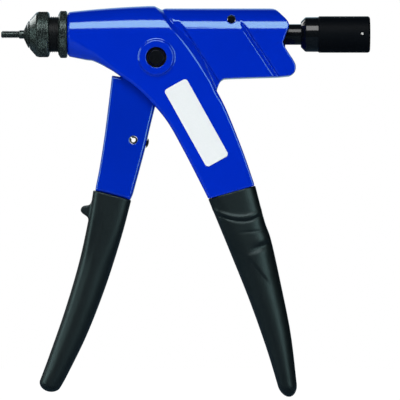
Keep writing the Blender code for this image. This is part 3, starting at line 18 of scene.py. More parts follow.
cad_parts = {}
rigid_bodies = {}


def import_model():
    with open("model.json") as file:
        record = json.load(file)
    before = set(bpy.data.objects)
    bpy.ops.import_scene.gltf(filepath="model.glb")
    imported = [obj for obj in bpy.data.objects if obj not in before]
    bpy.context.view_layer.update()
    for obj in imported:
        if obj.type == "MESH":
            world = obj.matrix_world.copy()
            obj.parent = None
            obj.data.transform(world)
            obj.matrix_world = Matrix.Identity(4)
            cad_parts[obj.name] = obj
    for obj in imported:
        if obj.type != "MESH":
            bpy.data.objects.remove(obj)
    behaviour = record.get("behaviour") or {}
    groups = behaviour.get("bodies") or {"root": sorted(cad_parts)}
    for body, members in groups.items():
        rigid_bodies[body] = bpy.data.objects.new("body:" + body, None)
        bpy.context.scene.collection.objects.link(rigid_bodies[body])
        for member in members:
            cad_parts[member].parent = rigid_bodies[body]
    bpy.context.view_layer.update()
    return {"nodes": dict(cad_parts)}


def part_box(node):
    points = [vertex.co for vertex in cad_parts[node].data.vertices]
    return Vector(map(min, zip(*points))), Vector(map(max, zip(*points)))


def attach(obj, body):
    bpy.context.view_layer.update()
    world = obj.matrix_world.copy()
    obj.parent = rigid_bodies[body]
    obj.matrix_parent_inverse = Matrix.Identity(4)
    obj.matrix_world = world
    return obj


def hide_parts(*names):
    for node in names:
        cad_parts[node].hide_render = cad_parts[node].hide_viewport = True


for thing in list(bpy.data.objects):
    bpy.data.objects.remove(thing)
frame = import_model()
MM = 0.001


# %% Places that the frame gives
def middle(node):
    """Centre of a solid's box."""
    low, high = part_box(node)
    return (low + high) / 2


def reach(node):
    """Half the sizes of a solid's box, in millimetres."""
    low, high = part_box(node)
    return (high - low) / 2 / MM


AXIS_HEIGHT = middle("knob").z


def place_of(node):
    """Centre of a solid in the tool's frame: x and z in millimetres."""
    centre = middle(node)
    return Vector((centre.x / MM, (centre.z - AXIS_HEIGHT) / MM))


PIVOT = place_of("pivot_pin")
KNEE = place_of("knee_pin")
STOP_PIN = place_of("stop_pin")
print("pull axis height, mm:", round(AXIS_HEIGHT / MM, 2), "pivot:", PIVOT[:], "knee:", KNEE[:])

# %% [markdown]
# ## Shapes as distance fields
#
# A casting has soft edges, grooves that run out and a boss that swells out of its side. Bevels on
# a faceted solid struggle there. Instead, each big form is a distance field: a function that is
# negative inside the metal and positive outside. Fields are joined, cut and rounded with a little
# arithmetic, and the surface where the field is zero becomes the mesh. numpy works on millions of
# points at a time, so this takes seconds.


# %% Curves and distances
def smooth_curve(points, steps=8):
    """Points on a Catmull-Rom curve through the given ones."""
    given = np.array(points, float)
    before = np.vstack([given[:1], given[:-1]])[:-1]
    start = given[:-1]
    end = given[1:]
    after = np.vstack([given[1:], given[-1:]])[1:]
    t = np.linspace(0.0, 1.0, steps, endpoint=False)[:, None, None]
    run = 0.5 * (2 * start + (end - before) * t + (2 * before - 5 * start + 4 * end - after) * t ** 2
                 + (3 * start - before - 3 * end + after) * t ** 3)
    return np.vstack([run.transpose(1, 0, 2).reshape(-1, 2), given[-1:]])


def arc(centre, radius, start, end, steps=16):
    """Points of an arc between two angles in degrees."""
    angles = np.radians(np.linspace(start, end, steps + 1))
    return np.column_stack([centre[0] + radius * np.cos(angles), centre[1] + radius * np.sin(angles)])


def outline_distance(x, z, outline):
    """Signed distance to a closed outline in the side view, negative inside."""
    nearest = np.full(np.broadcast(x, z).shape, 1e9)
    inside = np.zeros(nearest.shape, bool)
    for (ax, az), (bx, bz) in zip(outline, np.roll(outline, -1, axis=0)):
        dx = bx - ax
        dz = bz - az
        length = dx * dx + dz * dz
        if length < 1e-12:
            continue
        share = np.clip(((x - ax) * dx + (z - az) * dz) / length, 0.0, 1.0)
        nearest = np.minimum(nearest, (x - ax - share * dx) ** 2 + (z - az - share * dz) ** 2)
        if dz:
            crossing = (az > z) != (bz > z)
            inside ^= crossing & (x < ax + (z - az) / dz * dx)
    return np.where(inside, -1.0, 1.0) * np.sqrt(nearest)


class Outline:
    """A closed outline whose distances are worked out once, on a fine grid, and then read off."""

    def __init__(self, points, spacing=0.4, margin=9.0):
        points = np.array(points, float)
        self.spacing = spacing
        self.low = points.min(0) - margin
        counts = ((points.max(0) + margin - self.low) / spacing).astype(int) + 2
        x = self.low[0] + spacing * np.arange(counts[0])
        z = self.low[1] + spacing * np.arange(counts[1])
        self.table = outline_distance(x[:, None], z[None, :], points)

    def __call__(self, x, z):
        u = np.clip((x - self.low[0]) / self.spacing, 0.0, self.table.shape[0] - 1.001)
        v = np.clip((z - self.low[1]) / self.spacing, 0.0, self.table.shape[1] - 1.001)
        u, v = np.broadcast_arrays(u, v)
        i = u.astype(int)
        j = v.astype(int)
        u = u - i
        v = v - j
        table = self.table
        return ((table[i, j] * (1 - v) + table[i, j + 1] * v) * (1 - u)
                + (table[i + 1, j] * (1 - v) + table[i + 1, j + 1] * v) * u)


print("a quarter of a circle is drawn with", len(arc((0.0, 0.0), 1.0, 0.0, 90.0)), "points")


# %% Joining, cutting and rounding fields
def soft_min(a, b, blend):
    """Union of two fields with a fillet."""
    share = np.clip(0.5 + 0.5 * (b - a) / blend, 0.0, 1.0)
    return b + (a - b) * share - blend * share * (1 - share)


def soft_max(a, b, blend):
    """What two fields share, with a soft edge."""
    return -soft_min(-a, -b, blend)


def rounded(a, b, radius):
    """What two fields share, with an edge of this radius."""
    u = a + radius
    v = b + radius
    return np.hypot(np.maximum(u, 0.0), np.maximum(v, 0.0)) + np.minimum(np.maximum(u, v), 0.0) - radius


def cut(field, cutter, edge=0.3):
    """The field without the cutter."""
    return soft_max(field, -cutter, edge)


def ease(value, start, end):
    """A soft step from 0 at start to 1 at end."""
    t = np.clip((value - start) / (end - start), 0.0, 1.0)
    return t * t * (3 - 2 * t)


def drill(x, z, centre, radius):
    """A round hole across the tool."""
    return np.hypot(x - centre[0], z - centre[1]) - radius


print("where two faces meet with a 1 mm edge, the field is", round(float(rounded(0.0, 0.0, 1.0)), 3))

# %% [markdown]
# ## From a field to a mesh
#
# The space is filled with small cells. Every cell that the surface passes through gets one
# vertex, and neighbouring cells are joined with four-sided faces, which is the method called
# surface nets. Each vertex then moves onto the exact surface along the field's slope, and the same
# slope gives its shading normal, so highlights run as smoothly as on real paint.


# %% Build the skin of a field
def steps_between(*stretches):
    """Grid places along an axis: (end, cell) stretches after a first start."""
    start = stretches[0]
    places = [np.array([start])]
    for end, cell in stretches[1:]:
        count = max(1, int(round((end - start) / cell)))
        places.append(start + (end - start) * np.arange(1, count + 1) / count)
        start = end
    return np.concatenate(places)


def skin(field, x, y, z):
    """Vertices and faces of the zero surface; y holds the near half and is mirrored."""
    half = field(x[:, None, None], y[None, :, None], z[None, None, :])
    values = np.concatenate([half[:, :0:-1], half], axis=1).astype(np.float32)
    axes = (x, np.concatenate([-y[:0:-1], y]), z)
    inside = values < 0
    size = np.array(inside.shape) - 1
    count = np.zeros(size, np.uint8)
    for corner in np.ndindex(2, 2, 2):
        count += inside[tuple(slice(c, c + s) for c, s in zip(corner, size))]
    crossed = (count > 0) & (count < 8)
    number = np.full(size, -1)
    cells = np.argwhere(crossed)
    number[crossed] = np.arange(len(cells))
    total = np.zeros((len(cells), 3))
    weight = np.zeros(len(cells))
    for axis in range(3):
        step = np.eye(3, dtype=int)[axis]
        for corner in np.ndindex(2, 2, 2):
            if corner[axis]:
                continue
            a = values[tuple((cells + corner).T)]
            b = values[tuple((cells + corner + step).T)]
            cross = (a < 0) != (b < 0)
            share = np.where(cross, a / np.where(cross, a - b, 1.0), 0.0)
            total += (np.array(corner) + share[:, None] * step) * cross[:, None]
            weight += cross
    spot = cells + total / weight[:, None]
    vertices = np.column_stack([
        np.interp(spot[:, k], np.arange(len(axes[k])), axes[k]) for k in range(3)])
    faces = []
    for axis in range(3):
        others = [k for k in range(3) if k != axis]
        low = [slice(1, -1)] * 3
        low[axis] = slice(0, -1)
        high = list(low)
        high[axis] = slice(1, None)
        a = inside[tuple(low)]
        change = np.argwhere(a != inside[tuple(high)])
        base = change + [0 if k == axis else 1 for k in range(3)]
        ring = []
        for du, dv in ((-1, -1), (0, -1), (0, 0), (-1, 0)):
            cell = base.copy()
            cell[:, others[0]] += du
            cell[:, others[1]] += dv
            ring.append(number[tuple(cell.T)])
        ring = np.column_stack(ring)
        outward = a[tuple(change.T)] != (axis == 1)
        faces.append(np.where(outward[:, None], ring, ring[:, ::-1]))
    return vertices, np.vstack(faces)


def slope_of(field, points, step=0.2):
    """The field's value and slope at the points; y may be on either side."""
    def value(shift):
        x, y, z = (points + shift).T
        return field(x, np.abs(y), z)
    shifts = np.eye(3) * step
    slope = np.column_stack([(value(s) - value(-s)) / (2 * step) for s in shifts])
    return value(np.zeros(3)), slope


def settle(field, points, rounds=2, limit=0.4):
    """Move the points onto the exact surface and give the normals there."""
    for _ in range(rounds):
        value, slope = slope_of(field, points)
        size = np.maximum((slope ** 2).sum(1), 0.05)
        move = np.clip(value / size, -limit, limit)
        points = points - slope * move[:, None]
    slope = slope_of(field, points)[1]
    return points, slope / np.maximum(np.linalg.norm(slope, axis=1), 1e-6)[:, None]


def new_mesh(name, vertices, faces):
    """A mesh from arrays, in metres and lifted to the tool's place."""
    mesh = bpy.data.meshes.new(name)
    sides = faces.shape[1]
    mesh.vertices.add(len(vertices))
    mesh.loops.add(faces.size)
    mesh.polygons.add(len(faces))
    mesh.vertices.foreach_set("co", (vertices * MM + [0, 0, AXIS_HEIGHT]).astype(np.float32).ravel())
    mesh.loops.foreach_set("vertex_index", faces.astype(np.int32).ravel())
    mesh.polygons.foreach_set("loop_start", np.arange(0, faces.size, sides, dtype=np.int32))
    mesh.update(calc_edges=True)
    return mesh


def coordinates(mesh):
    """The mesh's points in the tool's frame, in millimetres."""
    flat = np.zeros(len(mesh.vertices) * 3, np.float32)
    mesh.vertices.foreach_get("co", flat)
    return flat.reshape(-1, 3).astype(float) / MM - [0, 0, AXIS_HEIGHT / MM]


def show(name, mesh):
    """An object for the mesh, linked to the scene."""
    thing = bpy.data.objects.new(name, mesh)
    bpy.context.scene.collection.objects.link(thing)
    return thing


def evaluated_mesh(thing):
    """The mesh that a piece has once its modifiers have run."""
    bpy.context.view_layer.update()
    evaluated = thing.evaluated_get(bpy.context.evaluated_depsgraph_get())
    return bpy.data.meshes.new_from_object(evaluated)


def cast(name, field, x, y, z, flat_angle=0.6):
    """A finished skin: flat stretches merged, points settled and normals taken from the field."""
    vertices, faces = skin(field, x, y, z)
    vertices = settle(field, vertices)[0]
    thing = show(name, new_mesh(name, vertices, faces))
    merge = thing.modifiers.new("flat_stretches", "DECIMATE")
    merge.decimate_type = "DISSOLVE"
    merge.angle_limit = math.radians(flat_angle)
    mesh = evaluated_mesh(thing)
    thing.modifiers.clear()
    forms = bmesh.new()
    forms.from_mesh(mesh)
    bmesh.ops.triangulate(forms, faces=[f for f in forms.faces if len(f.verts) > 4])
    forms.to_mesh(mesh)
    forms.free()
    thing.data = mesh
    mesh.shade_smooth()
    normals = settle(field, coordinates(mesh), rounds=0)[1]
    mesh.normals_split_custom_set_from_vertices(normals.tolist())
    mesh.calc_loop_triangles()
    print(name, len(faces), "cells' faces,", len(mesh.loop_triangles), "triangles")
    return thing


# %% [markdown]
# ## The housing's outlines
#
# The side view of the casting is drawn with smooth curves through a few points: the underside
# from the nose down to the grip, the rear edge of the handle, the crest where the raised front
# rolls off towards the first slanting groove, and the rear barrel.

# %% Driving sizes of the castings
FACE_X = -78.6
FACE_CHAMFER = 1.3
NECK_RADIUS = 14.75
BROW_X = -21.3
BROW_RADIUS = 19.1
REAR_RADIUS = 17.35
DRAFT = 0.042
CHANNEL_HALF = 11.6
GROOVE_FLOOR = 15.15
BOSS_RADIUS = 11.6
BOSS_FACE = 20.17
GRIP_WALL = 3.0
SEAT_GAP = 0.3
UNDERSIDE = [
    (-77.3, -14.8), (-66.3, -16.9), (-61.0, -17.8), (-50.3, -23.1), (-42.3, -28.6),
    (-30.3, -37.7), (-13.8, -55.7), (-1.4, -77.0), (12.3, -103.7),
]
HANDLE_REAR = [(45.2, -98.3), (38.0, -77.5), (27.4, -51.0), (20.6, -37.5)]
CREST = [
    (-24.5, 24.0), (-20.9, 19.1), (-10.4, 4.7), (-3.0, -4.0), (6.3, -17.0), (13.0, -27.7),
    (16.2, -33.0), (20.0, -41.0), (25.2, -50.0), (36.8, -77.5), (44.4, -99.0), (50.0, -115.0),
]
REAR_END = [
    (69.4, -27.7), (72.3, -25.7), (73.2, -22.1), (72.0, -18.2), (65.3, -7.4), (65.7, -3.2),
    (68.5, 4.4), (68.5, 7.2), (66.8, 9.9), (64.2, 12.6), (60.3, 16.4), (57.0, 17.8),
]
FIXED_GRIP_FRONT = [
    (15.1, -109.7), (30.2, -146.3), (43.0, -178.3), (54.3, -210.3), (61.6, -234.5),
]
FIXED_GRIP_REAR = [
    (46.5, -100.7), (52.6, -124.0), (57.2, -137.5), (63.9, -167.7), (70.2, -199.7), (74.2, -233.0),
]
LEVER_GRIP_FRONT = [
    (-61.4, -103.8), (-64.3, -121.5), (-70.9, -151.7), (-80.3, -183.7), (-91.0, -214.5),
    (-97.0, -230.5),
]
LEVER_GRIP_REAR = [
    (-36.2, -110.5), (-42.9, -135.7), (-53.1, -167.7), (-65.5, -199.7), (-78.5, -226.5),
    (-83.5, -235.5),
]
print("casting radii, mm: neck", NECK_RADIUS, "brow", BROW_RADIUS, "rear", REAR_RADIUS)


# %% Half planes and outlines
def side_of(a, b):
    """A field that is negative to the left of the line from a to b."""
    a = Vector(a)
    across = (Vector(b) - a).normalized()
    return lambda x, z: (x - a.x) * across.y - (z - a.y) * across.x


SEAT_LIFT = 0.06
TANG_STEPS = 14
TANG_ROOT = 3.0


def grip_seat(front, rear, front_step, rear_step):
    """The two corners of a casting that ends on a grip."""
    a = Vector(front[0])
    b = Vector(rear[0])
    across = (b - a).normalized()
    lift = Vector((-across.y, across.x)) * SEAT_LIFT
    return a + lift + across * front_step, b + lift - across * rear_step


def tang_outline(front, rear, inset, share=0.86):
    """The flat bar inside a grip: the grip's outline drawn in."""
    near = smooth_curve(front, 6)
    far = smooth_curve(rear, 6)
    left = []
    right = []
    for t in np.linspace(0.0, share, TANG_STEPS):
        a = np.array([np.interp(t, np.linspace(0, 1, len(near)), near[:, k]) for k in (0, 1)])
        b = np.array([np.interp(t, np.linspace(0, 1, len(far)), far[:, k]) for k in (0, 1)])
        across = (b - a) / np.linalg.norm(b - a)
        left.append(a + across * inset)
        right.append(b - across * inset)
    up = np.array([-across[1], across[0]]) * TANG_ROOT
    return np.array([left[0] + up] + left + right[::-1] + [right[0] + up])


seat_front, seat_rear = grip_seat(FIXED_GRIP_FRONT, FIXED_GRIP_REAR, 0.2, 0.6)
above_seat = side_of(seat_front, seat_rear)
above_underside = Outline(np.vstack([
    [(-95.0, 60.0), (-95.0, -12.5)], smooth_curve(UNDERSIDE),
    [(40.0, -160.0), (120.0, -160.0), (120.0, 60.0)],
]), spacing=0.5)
ahead_of_rear = Outline(np.vstack([
    [(60.0, -150.0)], smooth_curve(HANDLE_REAR),
    [(12.0, -18.0), (-2.0, 4.0), (-12.0, 30.0), (-120.0, 30.0), (-120.0, -150.0)],
]), spacing=0.5)
past_crest = Outline(np.vstack([
    smooth_curve(CREST), [(-120.0, -115.0), (-120.0, 24.0)],
]), spacing=0.5)
BARREL_FOOT = [(20.6, -38.5), (22.4, -33.0), (24.8, -30.3), (30.0, -29.5), (61.7, -28.5)]
barrel_side = Outline(np.vstack([
    [(-28.0, 30.0), (-28.0, -29.5), (8.0, -38.5)], smooth_curve(BARREL_FOOT), smooth_curve(REAR_END),
    [(55.0, 30.0)],
]))
fixed_tang = Outline(tang_outline(FIXED_GRIP_FRONT, FIXED_GRIP_REAR, GRIP_WALL + SEAT_GAP))
print("distances stored for the fixed handle's tang:", fixed_tang.table.size)

# %% [markdown]
# The casting is hollow. A channel between its two cheeks takes the lever and the links, and a
# stepped bore along the pull axis takes the sleeve, the spindle, the crosshead and the rear bush.
# A rib on the channel's wall stops the lever: its place is the bumper's, turned with the lever.

# %% The room inside the housing
EYE_RADIUS = 9.9
EYE_ROOM = 1.0
WAY_RADIUS = 12.9
WAY_END = 62.3
SPINDLE_ROOM = 9.0
GUIDE_RADIUS = 10.3
BORE_OVERLAP = 1.0
sleeve_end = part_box("nose_sleeve")[1].x / MM + SEAT_GAP
link_end = 38.0
channel_roof = PIVOT.y + EYE_RADIUS + EYE_ROOM
CHANNEL = [
    (-53.5, -90.0), (-53.5, -21.6), (-51.5, -19.8), (PIVOT.x - EYE_RADIUS - 2.0, channel_roof),
    (KNEE.x - 2.0, channel_roof), (9.0, 6.2), (link_end, 6.2), (link_end, -7.0),
    (10.0, -26.0), (35.2, -90.0), (31.0, -97.0), (-10.0, -97.0),
]
channel_side = Outline(CHANNEL)
BORE_STEPS = (
    (FACE_X - 5.0, sleeve_end, reach("nose_sleeve").z + SEAT_GAP),
    (sleeve_end - BORE_OVERLAP, 9.0 + BORE_OVERLAP, SPINDLE_ROOM),
    (9.0, WAY_END, WAY_RADIUS),
    (WAY_END - 0.3, 90.0, GUIDE_RADIUS),
)


def bored(x, y, z):
    """The stepped bore along the pull axis: each step from a start to an end with its radius."""
    around = np.hypot(y, z)
    room = np.full(np.broadcast(x, around).shape, 1e3)
    for start, end, radius in BORE_STEPS:
        room = np.minimum(room, np.maximum(around - radius, np.maximum(start - x, x - end)))
    return room


LEVER_SWEEP = math.radians(24.0)
BUMPER = Vector((-26.1, -72.3))
BUMPER_ANGLE = math.radians(-13.0)
BUMPER_HEIGHT = 1.6
RIB_SIZE = (4.0, 11.0)
RIB_EDGE = 0.8
RIB_ROOT = 1.0
bumper_way = Vector((math.cos(BUMPER_ANGLE), math.sin(BUMPER_ANGLE)))
swing = Matrix.Rotation(LEVER_SWEEP, 2)
rib_way = swing @ bumper_way
bumper_tip = PIVOT + swing @ (BUMPER + bumper_way * BUMPER_HEIGHT - PIVOT)
rib_place = bumper_tip + rib_way * (SEAT_GAP + RIB_SIZE[0] / 2)
print("bumper tip with the lever closed, mm:", [round(value, 1) for value in bumper_tip])


def stop_rib(x, y, z):
    """The web that the lever's bumper meets."""
    u = (x - rib_place.x) * rib_way.x + (z - rib_place.y) * rib_way.y
    v = (z - rib_place.y) * rib_way.x - (x - rib_place.x) * rib_way.y
    return np.maximum(rounded(np.abs(u) - RIB_SIZE[0] / 2, np.abs(v) - RIB_SIZE[1] / 2, RIB_EDGE),
                      y - CHANNEL_HALF - RIB_ROOT)


# %% [markdown]
# The outer form is put together from three parts. The raised front is half a cone that swells a
# little, has upright flanks below and rolls off at the crest. The rear barrel is thinner and
# carries two slanting grooves. The round boss stands on both, where the pivot pin goes through.

# %% The housing's outer forms
NECK_SWELL = 0.35
ROOF_BOW = 2.2
BROW_EASE = 0.12
BELLY_START = -77.3
BELLY_LENGTH = 30.2
BELLY_POWER = 1.3
BELLY_EDGE = 0.97 * NECK_RADIUS
LOWER_EDGE = 2.4
first_wall = side_of((-8.7, 15.0), (28.6, -42.0))
second_wall = side_of((35.4, 10.7), (60.9, -26.9))
GROOVE_TOP = 10.0
GROOVE_BOTTOM = -27.0
GROOVE_DEPTH = 2.1
GROOVE_EDGE = 0.4
WALL_LEAN = (0.93, 0.36)


def roof_radius(x):
    """The radius of the raised front's roof along the tool."""
    along = np.clip((x - FACE_X - FACE_CHAMFER) / (BROW_X - FACE_X - FACE_CHAMFER), -0.2, 1.0)
    roof = NECK_RADIUS + (BROW_RADIUS - NECK_RADIUS) * along
    roof = roof + NECK_SWELL * (1 - along) + ROOF_BOW * np.clip(along, 0.0, 1.0) * (1 - along)
    return np.minimum(roof, BROW_RADIUS - BROW_EASE)


def raised_front(x, z, around):
    """The front of the casting down to the handle, ended by its crest, underside and seat."""
    steep = 0.72 + 0.28 * ease(z, -8.0, 4.0)
    crease = 0.35 + 0.55 * ease(z, -30.0, -12.0) * (1 - ease(z, 1.0, 6.0))
    front = around - soft_min(roof_radius(x), BROW_RADIUS - steep * past_crest(x, z), crease)
    share = np.clip((x - BELLY_START) / BELLY_LENGTH, 0.0, 1.0)
    fullness = (1 - share) ** BELLY_POWER
    front = rounded(front, above_underside(x, z), BELLY_EDGE * fullness + LOWER_EDGE * (1 - fullness))
    front = rounded(front, ahead_of_rear(x, z), 1.0)
    return rounded(front, above_seat(x, z), 0.8)


def leaning_wall(beyond, side, floor):
    """The steep side of a slanting groove, where the metal starts again."""
    return -(WALL_LEAN[0] * beyond + WALL_LEAN[1] * (side - floor))


def rear_barrel(x, z, around, side):
    """The rear of the casting with the first slanting groove behind the crest."""
    barrel = around - soft_min(REAR_RADIUS + 0 * x, GROOVE_FLOOR - 0.1 + 0.5 * past_crest(x, z), 0.5)
    barrel = rounded(barrel, barrel_side(x, z), 0.8)
    groove = np.maximum(GROOVE_FLOOR - side, leaning_wall(first_wall(x, z), side, GROOVE_FLOOR))
    return cut(barrel, groove, GROOVE_EDGE)


def second_groove(x, z, side):
    """The groove across the barrel: it ramps up to the front and widens on its way down."""
    beyond = second_wall(x, z)
    down = np.clip((GROOVE_TOP - z) / (GROOVE_TOP - GROOVE_BOTTOM), 0.0, 1.0)
    width = 2.2 + 0.8 * down
    rise = np.clip(beyond / width, 0.0, 2.0) ** 1.5
    floor = REAR_RADIUS - GROOVE_DEPTH
    return np.maximum(floor + GROOVE_DEPTH * rise - side, leaning_wall(beyond, side, floor))


print("the roof's radius over the pivot, mm:", round(float(roof_radius(PIVOT.x)), 2))

# %% The housing as a field
DIAGONAL = 0.7071
BOSS_EDGE = 0.9
BOSS_FILLET = 1.6
PIVOT_BORE = 6.8
STOP_BORE = 2.8
FIXED_TANG_HALF = 5.9
FIXED_TANG_EDGE = 3.0


def housing_field(x, y, z):
    """The whole casting: raised front, rear barrel, boss, channel, bore, rib and tang."""
    narrow = 1 - DRAFT * np.maximum(-z, 0.0) / BROW_RADIUS
    side = y / narrow
    around = np.hypot(side, np.maximum(z, 0.0))
    casting = soft_min(raised_front(x, z, around), rear_barrel(x, z, around, side), 0.35)
    casting = cut(casting, second_groove(x, z, side), GROOVE_EDGE)
    boss = rounded(drill(x, z, PIVOT, BOSS_RADIUS), y - BOSS_FACE, BOSS_EDGE)
    casting = soft_min(casting, boss, BOSS_FILLET)
    nose = FACE_X - x
    bevel = (casting + nose + FACE_CHAMFER) * DIAGONAL
    casting = np.maximum(np.maximum(casting, nose), bevel)
    casting = cut(casting, np.maximum(channel_side(x, z), y - CHANNEL_HALF), 0.5)
    casting = np.minimum(casting, stop_rib(x, y, z))
    tang = rounded(fixed_tang(x, z), y - FIXED_TANG_HALF, FIXED_TANG_EDGE)
    casting = np.minimum(casting, tang)
    casting = cut(casting, bored(x, y, z), 0.5)
    casting = cut(casting, drill(x, z, PIVOT, PIVOT_BORE), 0.5)
    return cut(casting, drill(x, z, STOP_PIN, STOP_BORE), 0.4)


housing = cast(
    "housing_casting", housing_field,
    steps_between(-80.1, (75.0, 0.62)),
    steps_between(0.0, (21.3, 0.62)),
    steps_between(-226.0, (-112.0, 1.4), (-46.0, 0.8), (20.6, 0.62)),
)

# %% [markdown]
# ## The lever
#
# The lever is a second casting: a blade with soft edges, an eye round the pivot bush, a narrower
# arm inside the head that carries the knee pin, and a flat tang inside the grip.

# %% The lever as a field
LEVER_HALF = reach("lever_bush").y
LEVER_LEFT = [
    (-48.9, -27.6), (-50.1, -38.3), (-53.6, -66.3), (-56.9, -87.7), (-59.5, -101.0),
]
LEVER_RIGHT = [
    (-35.1, -106.4), (-32.9, -98.3), (-27.2, -77.0), (-23.5, -61.0), (-20.5, -49.0),
]
LEVER_TOP = [(-38.0, -26.0), (-43.5, -28.4)]
ROLL_PIN = place_of("lever_roll_pin")
ARM_HALF = 6.5
ARM_END_RADIUS = 6.5
LINK_ROOM = 6.1
BLADE_EDGE = 2.2
LEVER_TANG_HALF = 5.7
LEVER_TANG_EDGE = 2.8
LEVER_HOLES = ((PIVOT, 7.2), (KNEE, 3.75), (ROLL_PIN, 2.8))
STEM_HOLE = (2.1, 4.3)
blade_side = Outline(np.vstack([
    smooth_curve(LEVER_RIGHT), arc(PIVOT, EYE_RADIUS, -35.0, 205.0, 40), LEVER_TOP,
    smooth_curve(LEVER_LEFT), grip_seat(LEVER_GRIP_FRONT, LEVER_GRIP_REAR, 1.5, 0.6),
]))
knee_way = math.degrees(math.atan2(KNEE.y - PIVOT.y, KNEE.x - PIVOT.x))
knee_arm = Outline(np.vstack([
    arc(KNEE, ARM_END_RADIUS, knee_way - 90, knee_way + 90),
    arc(PIVOT, EYE_RADIUS - 1, knee_way + 90, knee_way + 270),
]))
lever_tang = Outline(tang_outline(LEVER_GRIP_FRONT, LEVER_GRIP_REAR, GRIP_WALL + SEAT_GAP))
print("knee lies at", round(knee_way, 1), "degrees from the pivot")


def bumper_hole(x, y, z):
    """The round hole for the bumper's stem."""
    radius, depth = STEM_HOLE
    u = (x - BUMPER.x) * bumper_way.x + (z - BUMPER.y) * bumper_way.y
    v = (z - BUMPER.y) * bumper_way.x - (x - BUMPER.x) * bumper_way.y
    return np.maximum(np.hypot(v, y) - radius, -depth - u)


def lever_field(x, y, z):
    """Blade, eye, knee arm and tang with their holes."""
    lever = rounded(blade_side(x, z), y - LEVER_HALF, BLADE_EDGE)
    relief = np.maximum(drill(x, z, KNEE, LINK_ROOM), ARM_HALF + SEAT_GAP - y)
    lever = cut(lever, relief, 0.4)
    arm = rounded(knee_arm(x, z), y - ARM_HALF, 0.8)
    lever = soft_min(lever, arm, 0.6)
    lever = np.minimum(lever, rounded(lever_tang(x, z), y - LEVER_TANG_HALF, LEVER_TANG_EDGE))
    for place, radius in LEVER_HOLES:
        lever = cut(lever, drill(x, z, place, radius), 0.5)
    return cut(lever, bumper_hole(x, y, z), 0.3)


lever = cast(
    "lever_casting", lever_field,
    steps_between(-96.0, (-62.0, 1.0), (0.6, 0.6)),
    steps_between(0.0, (12.0, 0.6)),
    steps_between(-226.0, (-112.0, 1.4), (-3.0, 0.6)),
)

# %% [markdown]
# ## The moulded grips
#
# Each grip is a sleeve pushed over a tang. Its section is a rounded square at the top and nearly
# an oval further down, and its end is a soft cap. Between the front and the rear edge a share
# from -1 to 1 says how far across a point lies, which makes the section a short formula.


# %% Grip sections
SQUARE_POWER = 4.0
OVAL_POWER = 2.15
GRIP_TOP_EDGE = 0.6
GRIP_BORE = (6.2, 3.2)
LEVER_GRIP_BORE = (6.0, 3.0)
GUARD_HALF = 7.0


def run_on(end, before, length):
    """A point beyond the end of a curve, straight on."""
    return end + (end - before) * length / np.linalg.norm(end - before)


def edge_line(points, ahead):
    """A field that is the distance behind (or ahead of) a long edge of a grip."""
    curve = smooth_curve(points)
    top = run_on(curve[0], curve[1], 12.0)
    foot = run_on(curve[-1], curve[-2], 14.0)
    far = -80.0 if ahead else 80.0
    outline = np.vstack([[top], curve, [foot], [foot + [far, 0.0]], [top + [far, 0.0]]])
    return Outline(outline, spacing=0.5, margin=60.0)


class GripForm:
    """The outer form of one grip and its place along the tang."""

    def __init__(self, front, rear, top_half, end_half, cap):
        self.behind_front = edge_line(front, True)
        self.ahead_of_rear = edge_line(rear, False)
        self.top = side_of(rear[0], front[0])
        self.end = side_of(front[-1], rear[-1])
        self.length = 0.5 * ((Vector(front[0]) - Vector(front[-1])).length
                             + (Vector(rear[0]) - Vector(rear[-1])).length)
        self.top_half = top_half
        self.end_half = end_half
        self.cap = cap

    def coordinates(self, x, z):
        """Share across from -1 to 1, half the depth, and share down the grip."""
        front = self.behind_front(x, z)
        rear = self.ahead_of_rear(x, z)
        depth = np.maximum(front + rear, 6.0) / 2
        return (front - rear) / (2 * depth), depth, -self.top(x, z) / self.length

    def __call__(self, x, y, z):
        across, depth, down = self.coordinates(x, z)
        half = self.top_half + (self.end_half - self.top_half) * np.clip(down, 0.0, 1.0)
        power = SQUARE_POWER - (SQUARE_POWER - OVAL_POWER) * ease(down, 0.05, 0.4)
        past_end = np.maximum(self.end(x, z), 0.0) / self.cap
        ring = (np.abs(across) ** power + np.abs(y / half) ** power) ** (1 / power)
        body = (np.hypot(ring, past_end) - 1) * np.minimum(half, depth)
        return rounded(body, self.top(x, z), GRIP_TOP_EDGE)


fixed_form = GripForm(FIXED_GRIP_FRONT, FIXED_GRIP_REAR, 14.6, 9.6, 7.9)
lever_form = GripForm(LEVER_GRIP_FRONT, LEVER_GRIP_REAR, 12.6, 9.4, 5.2)
GUARD = [
    (-58.0, -108.5), (-63.3, -113.2), (-67.9, -114.3), (-69.7, -116.4), (-68.9, -118.9),
    (-64.2, -122.4), (-58.0, -128.0),
]
guard_side = Outline(smooth_curve(GUARD))
fixed_cavity = Outline(tang_outline(FIXED_GRIP_FRONT, FIXED_GRIP_REAR, GRIP_WALL, 0.87))
lever_cavity = Outline(tang_outline(LEVER_GRIP_FRONT, LEVER_GRIP_REAR, GRIP_WALL, 0.87))
print("grip lengths, mm:", round(fixed_form.length, 1), round(lever_form.length, 1))

# %% [markdown]
# The flanks of the grips are modelled by adding a height to them. The fixed grip has a collar that
# sags like a smile, a fine step, a bulge and a crease where the palm lies, and a flat facet. Each
# fold is one soft ridge, given by how far below the top it lies, how it leans across the grip, its
# height and its width. The lever grip has one long shallow valley near its front edge.

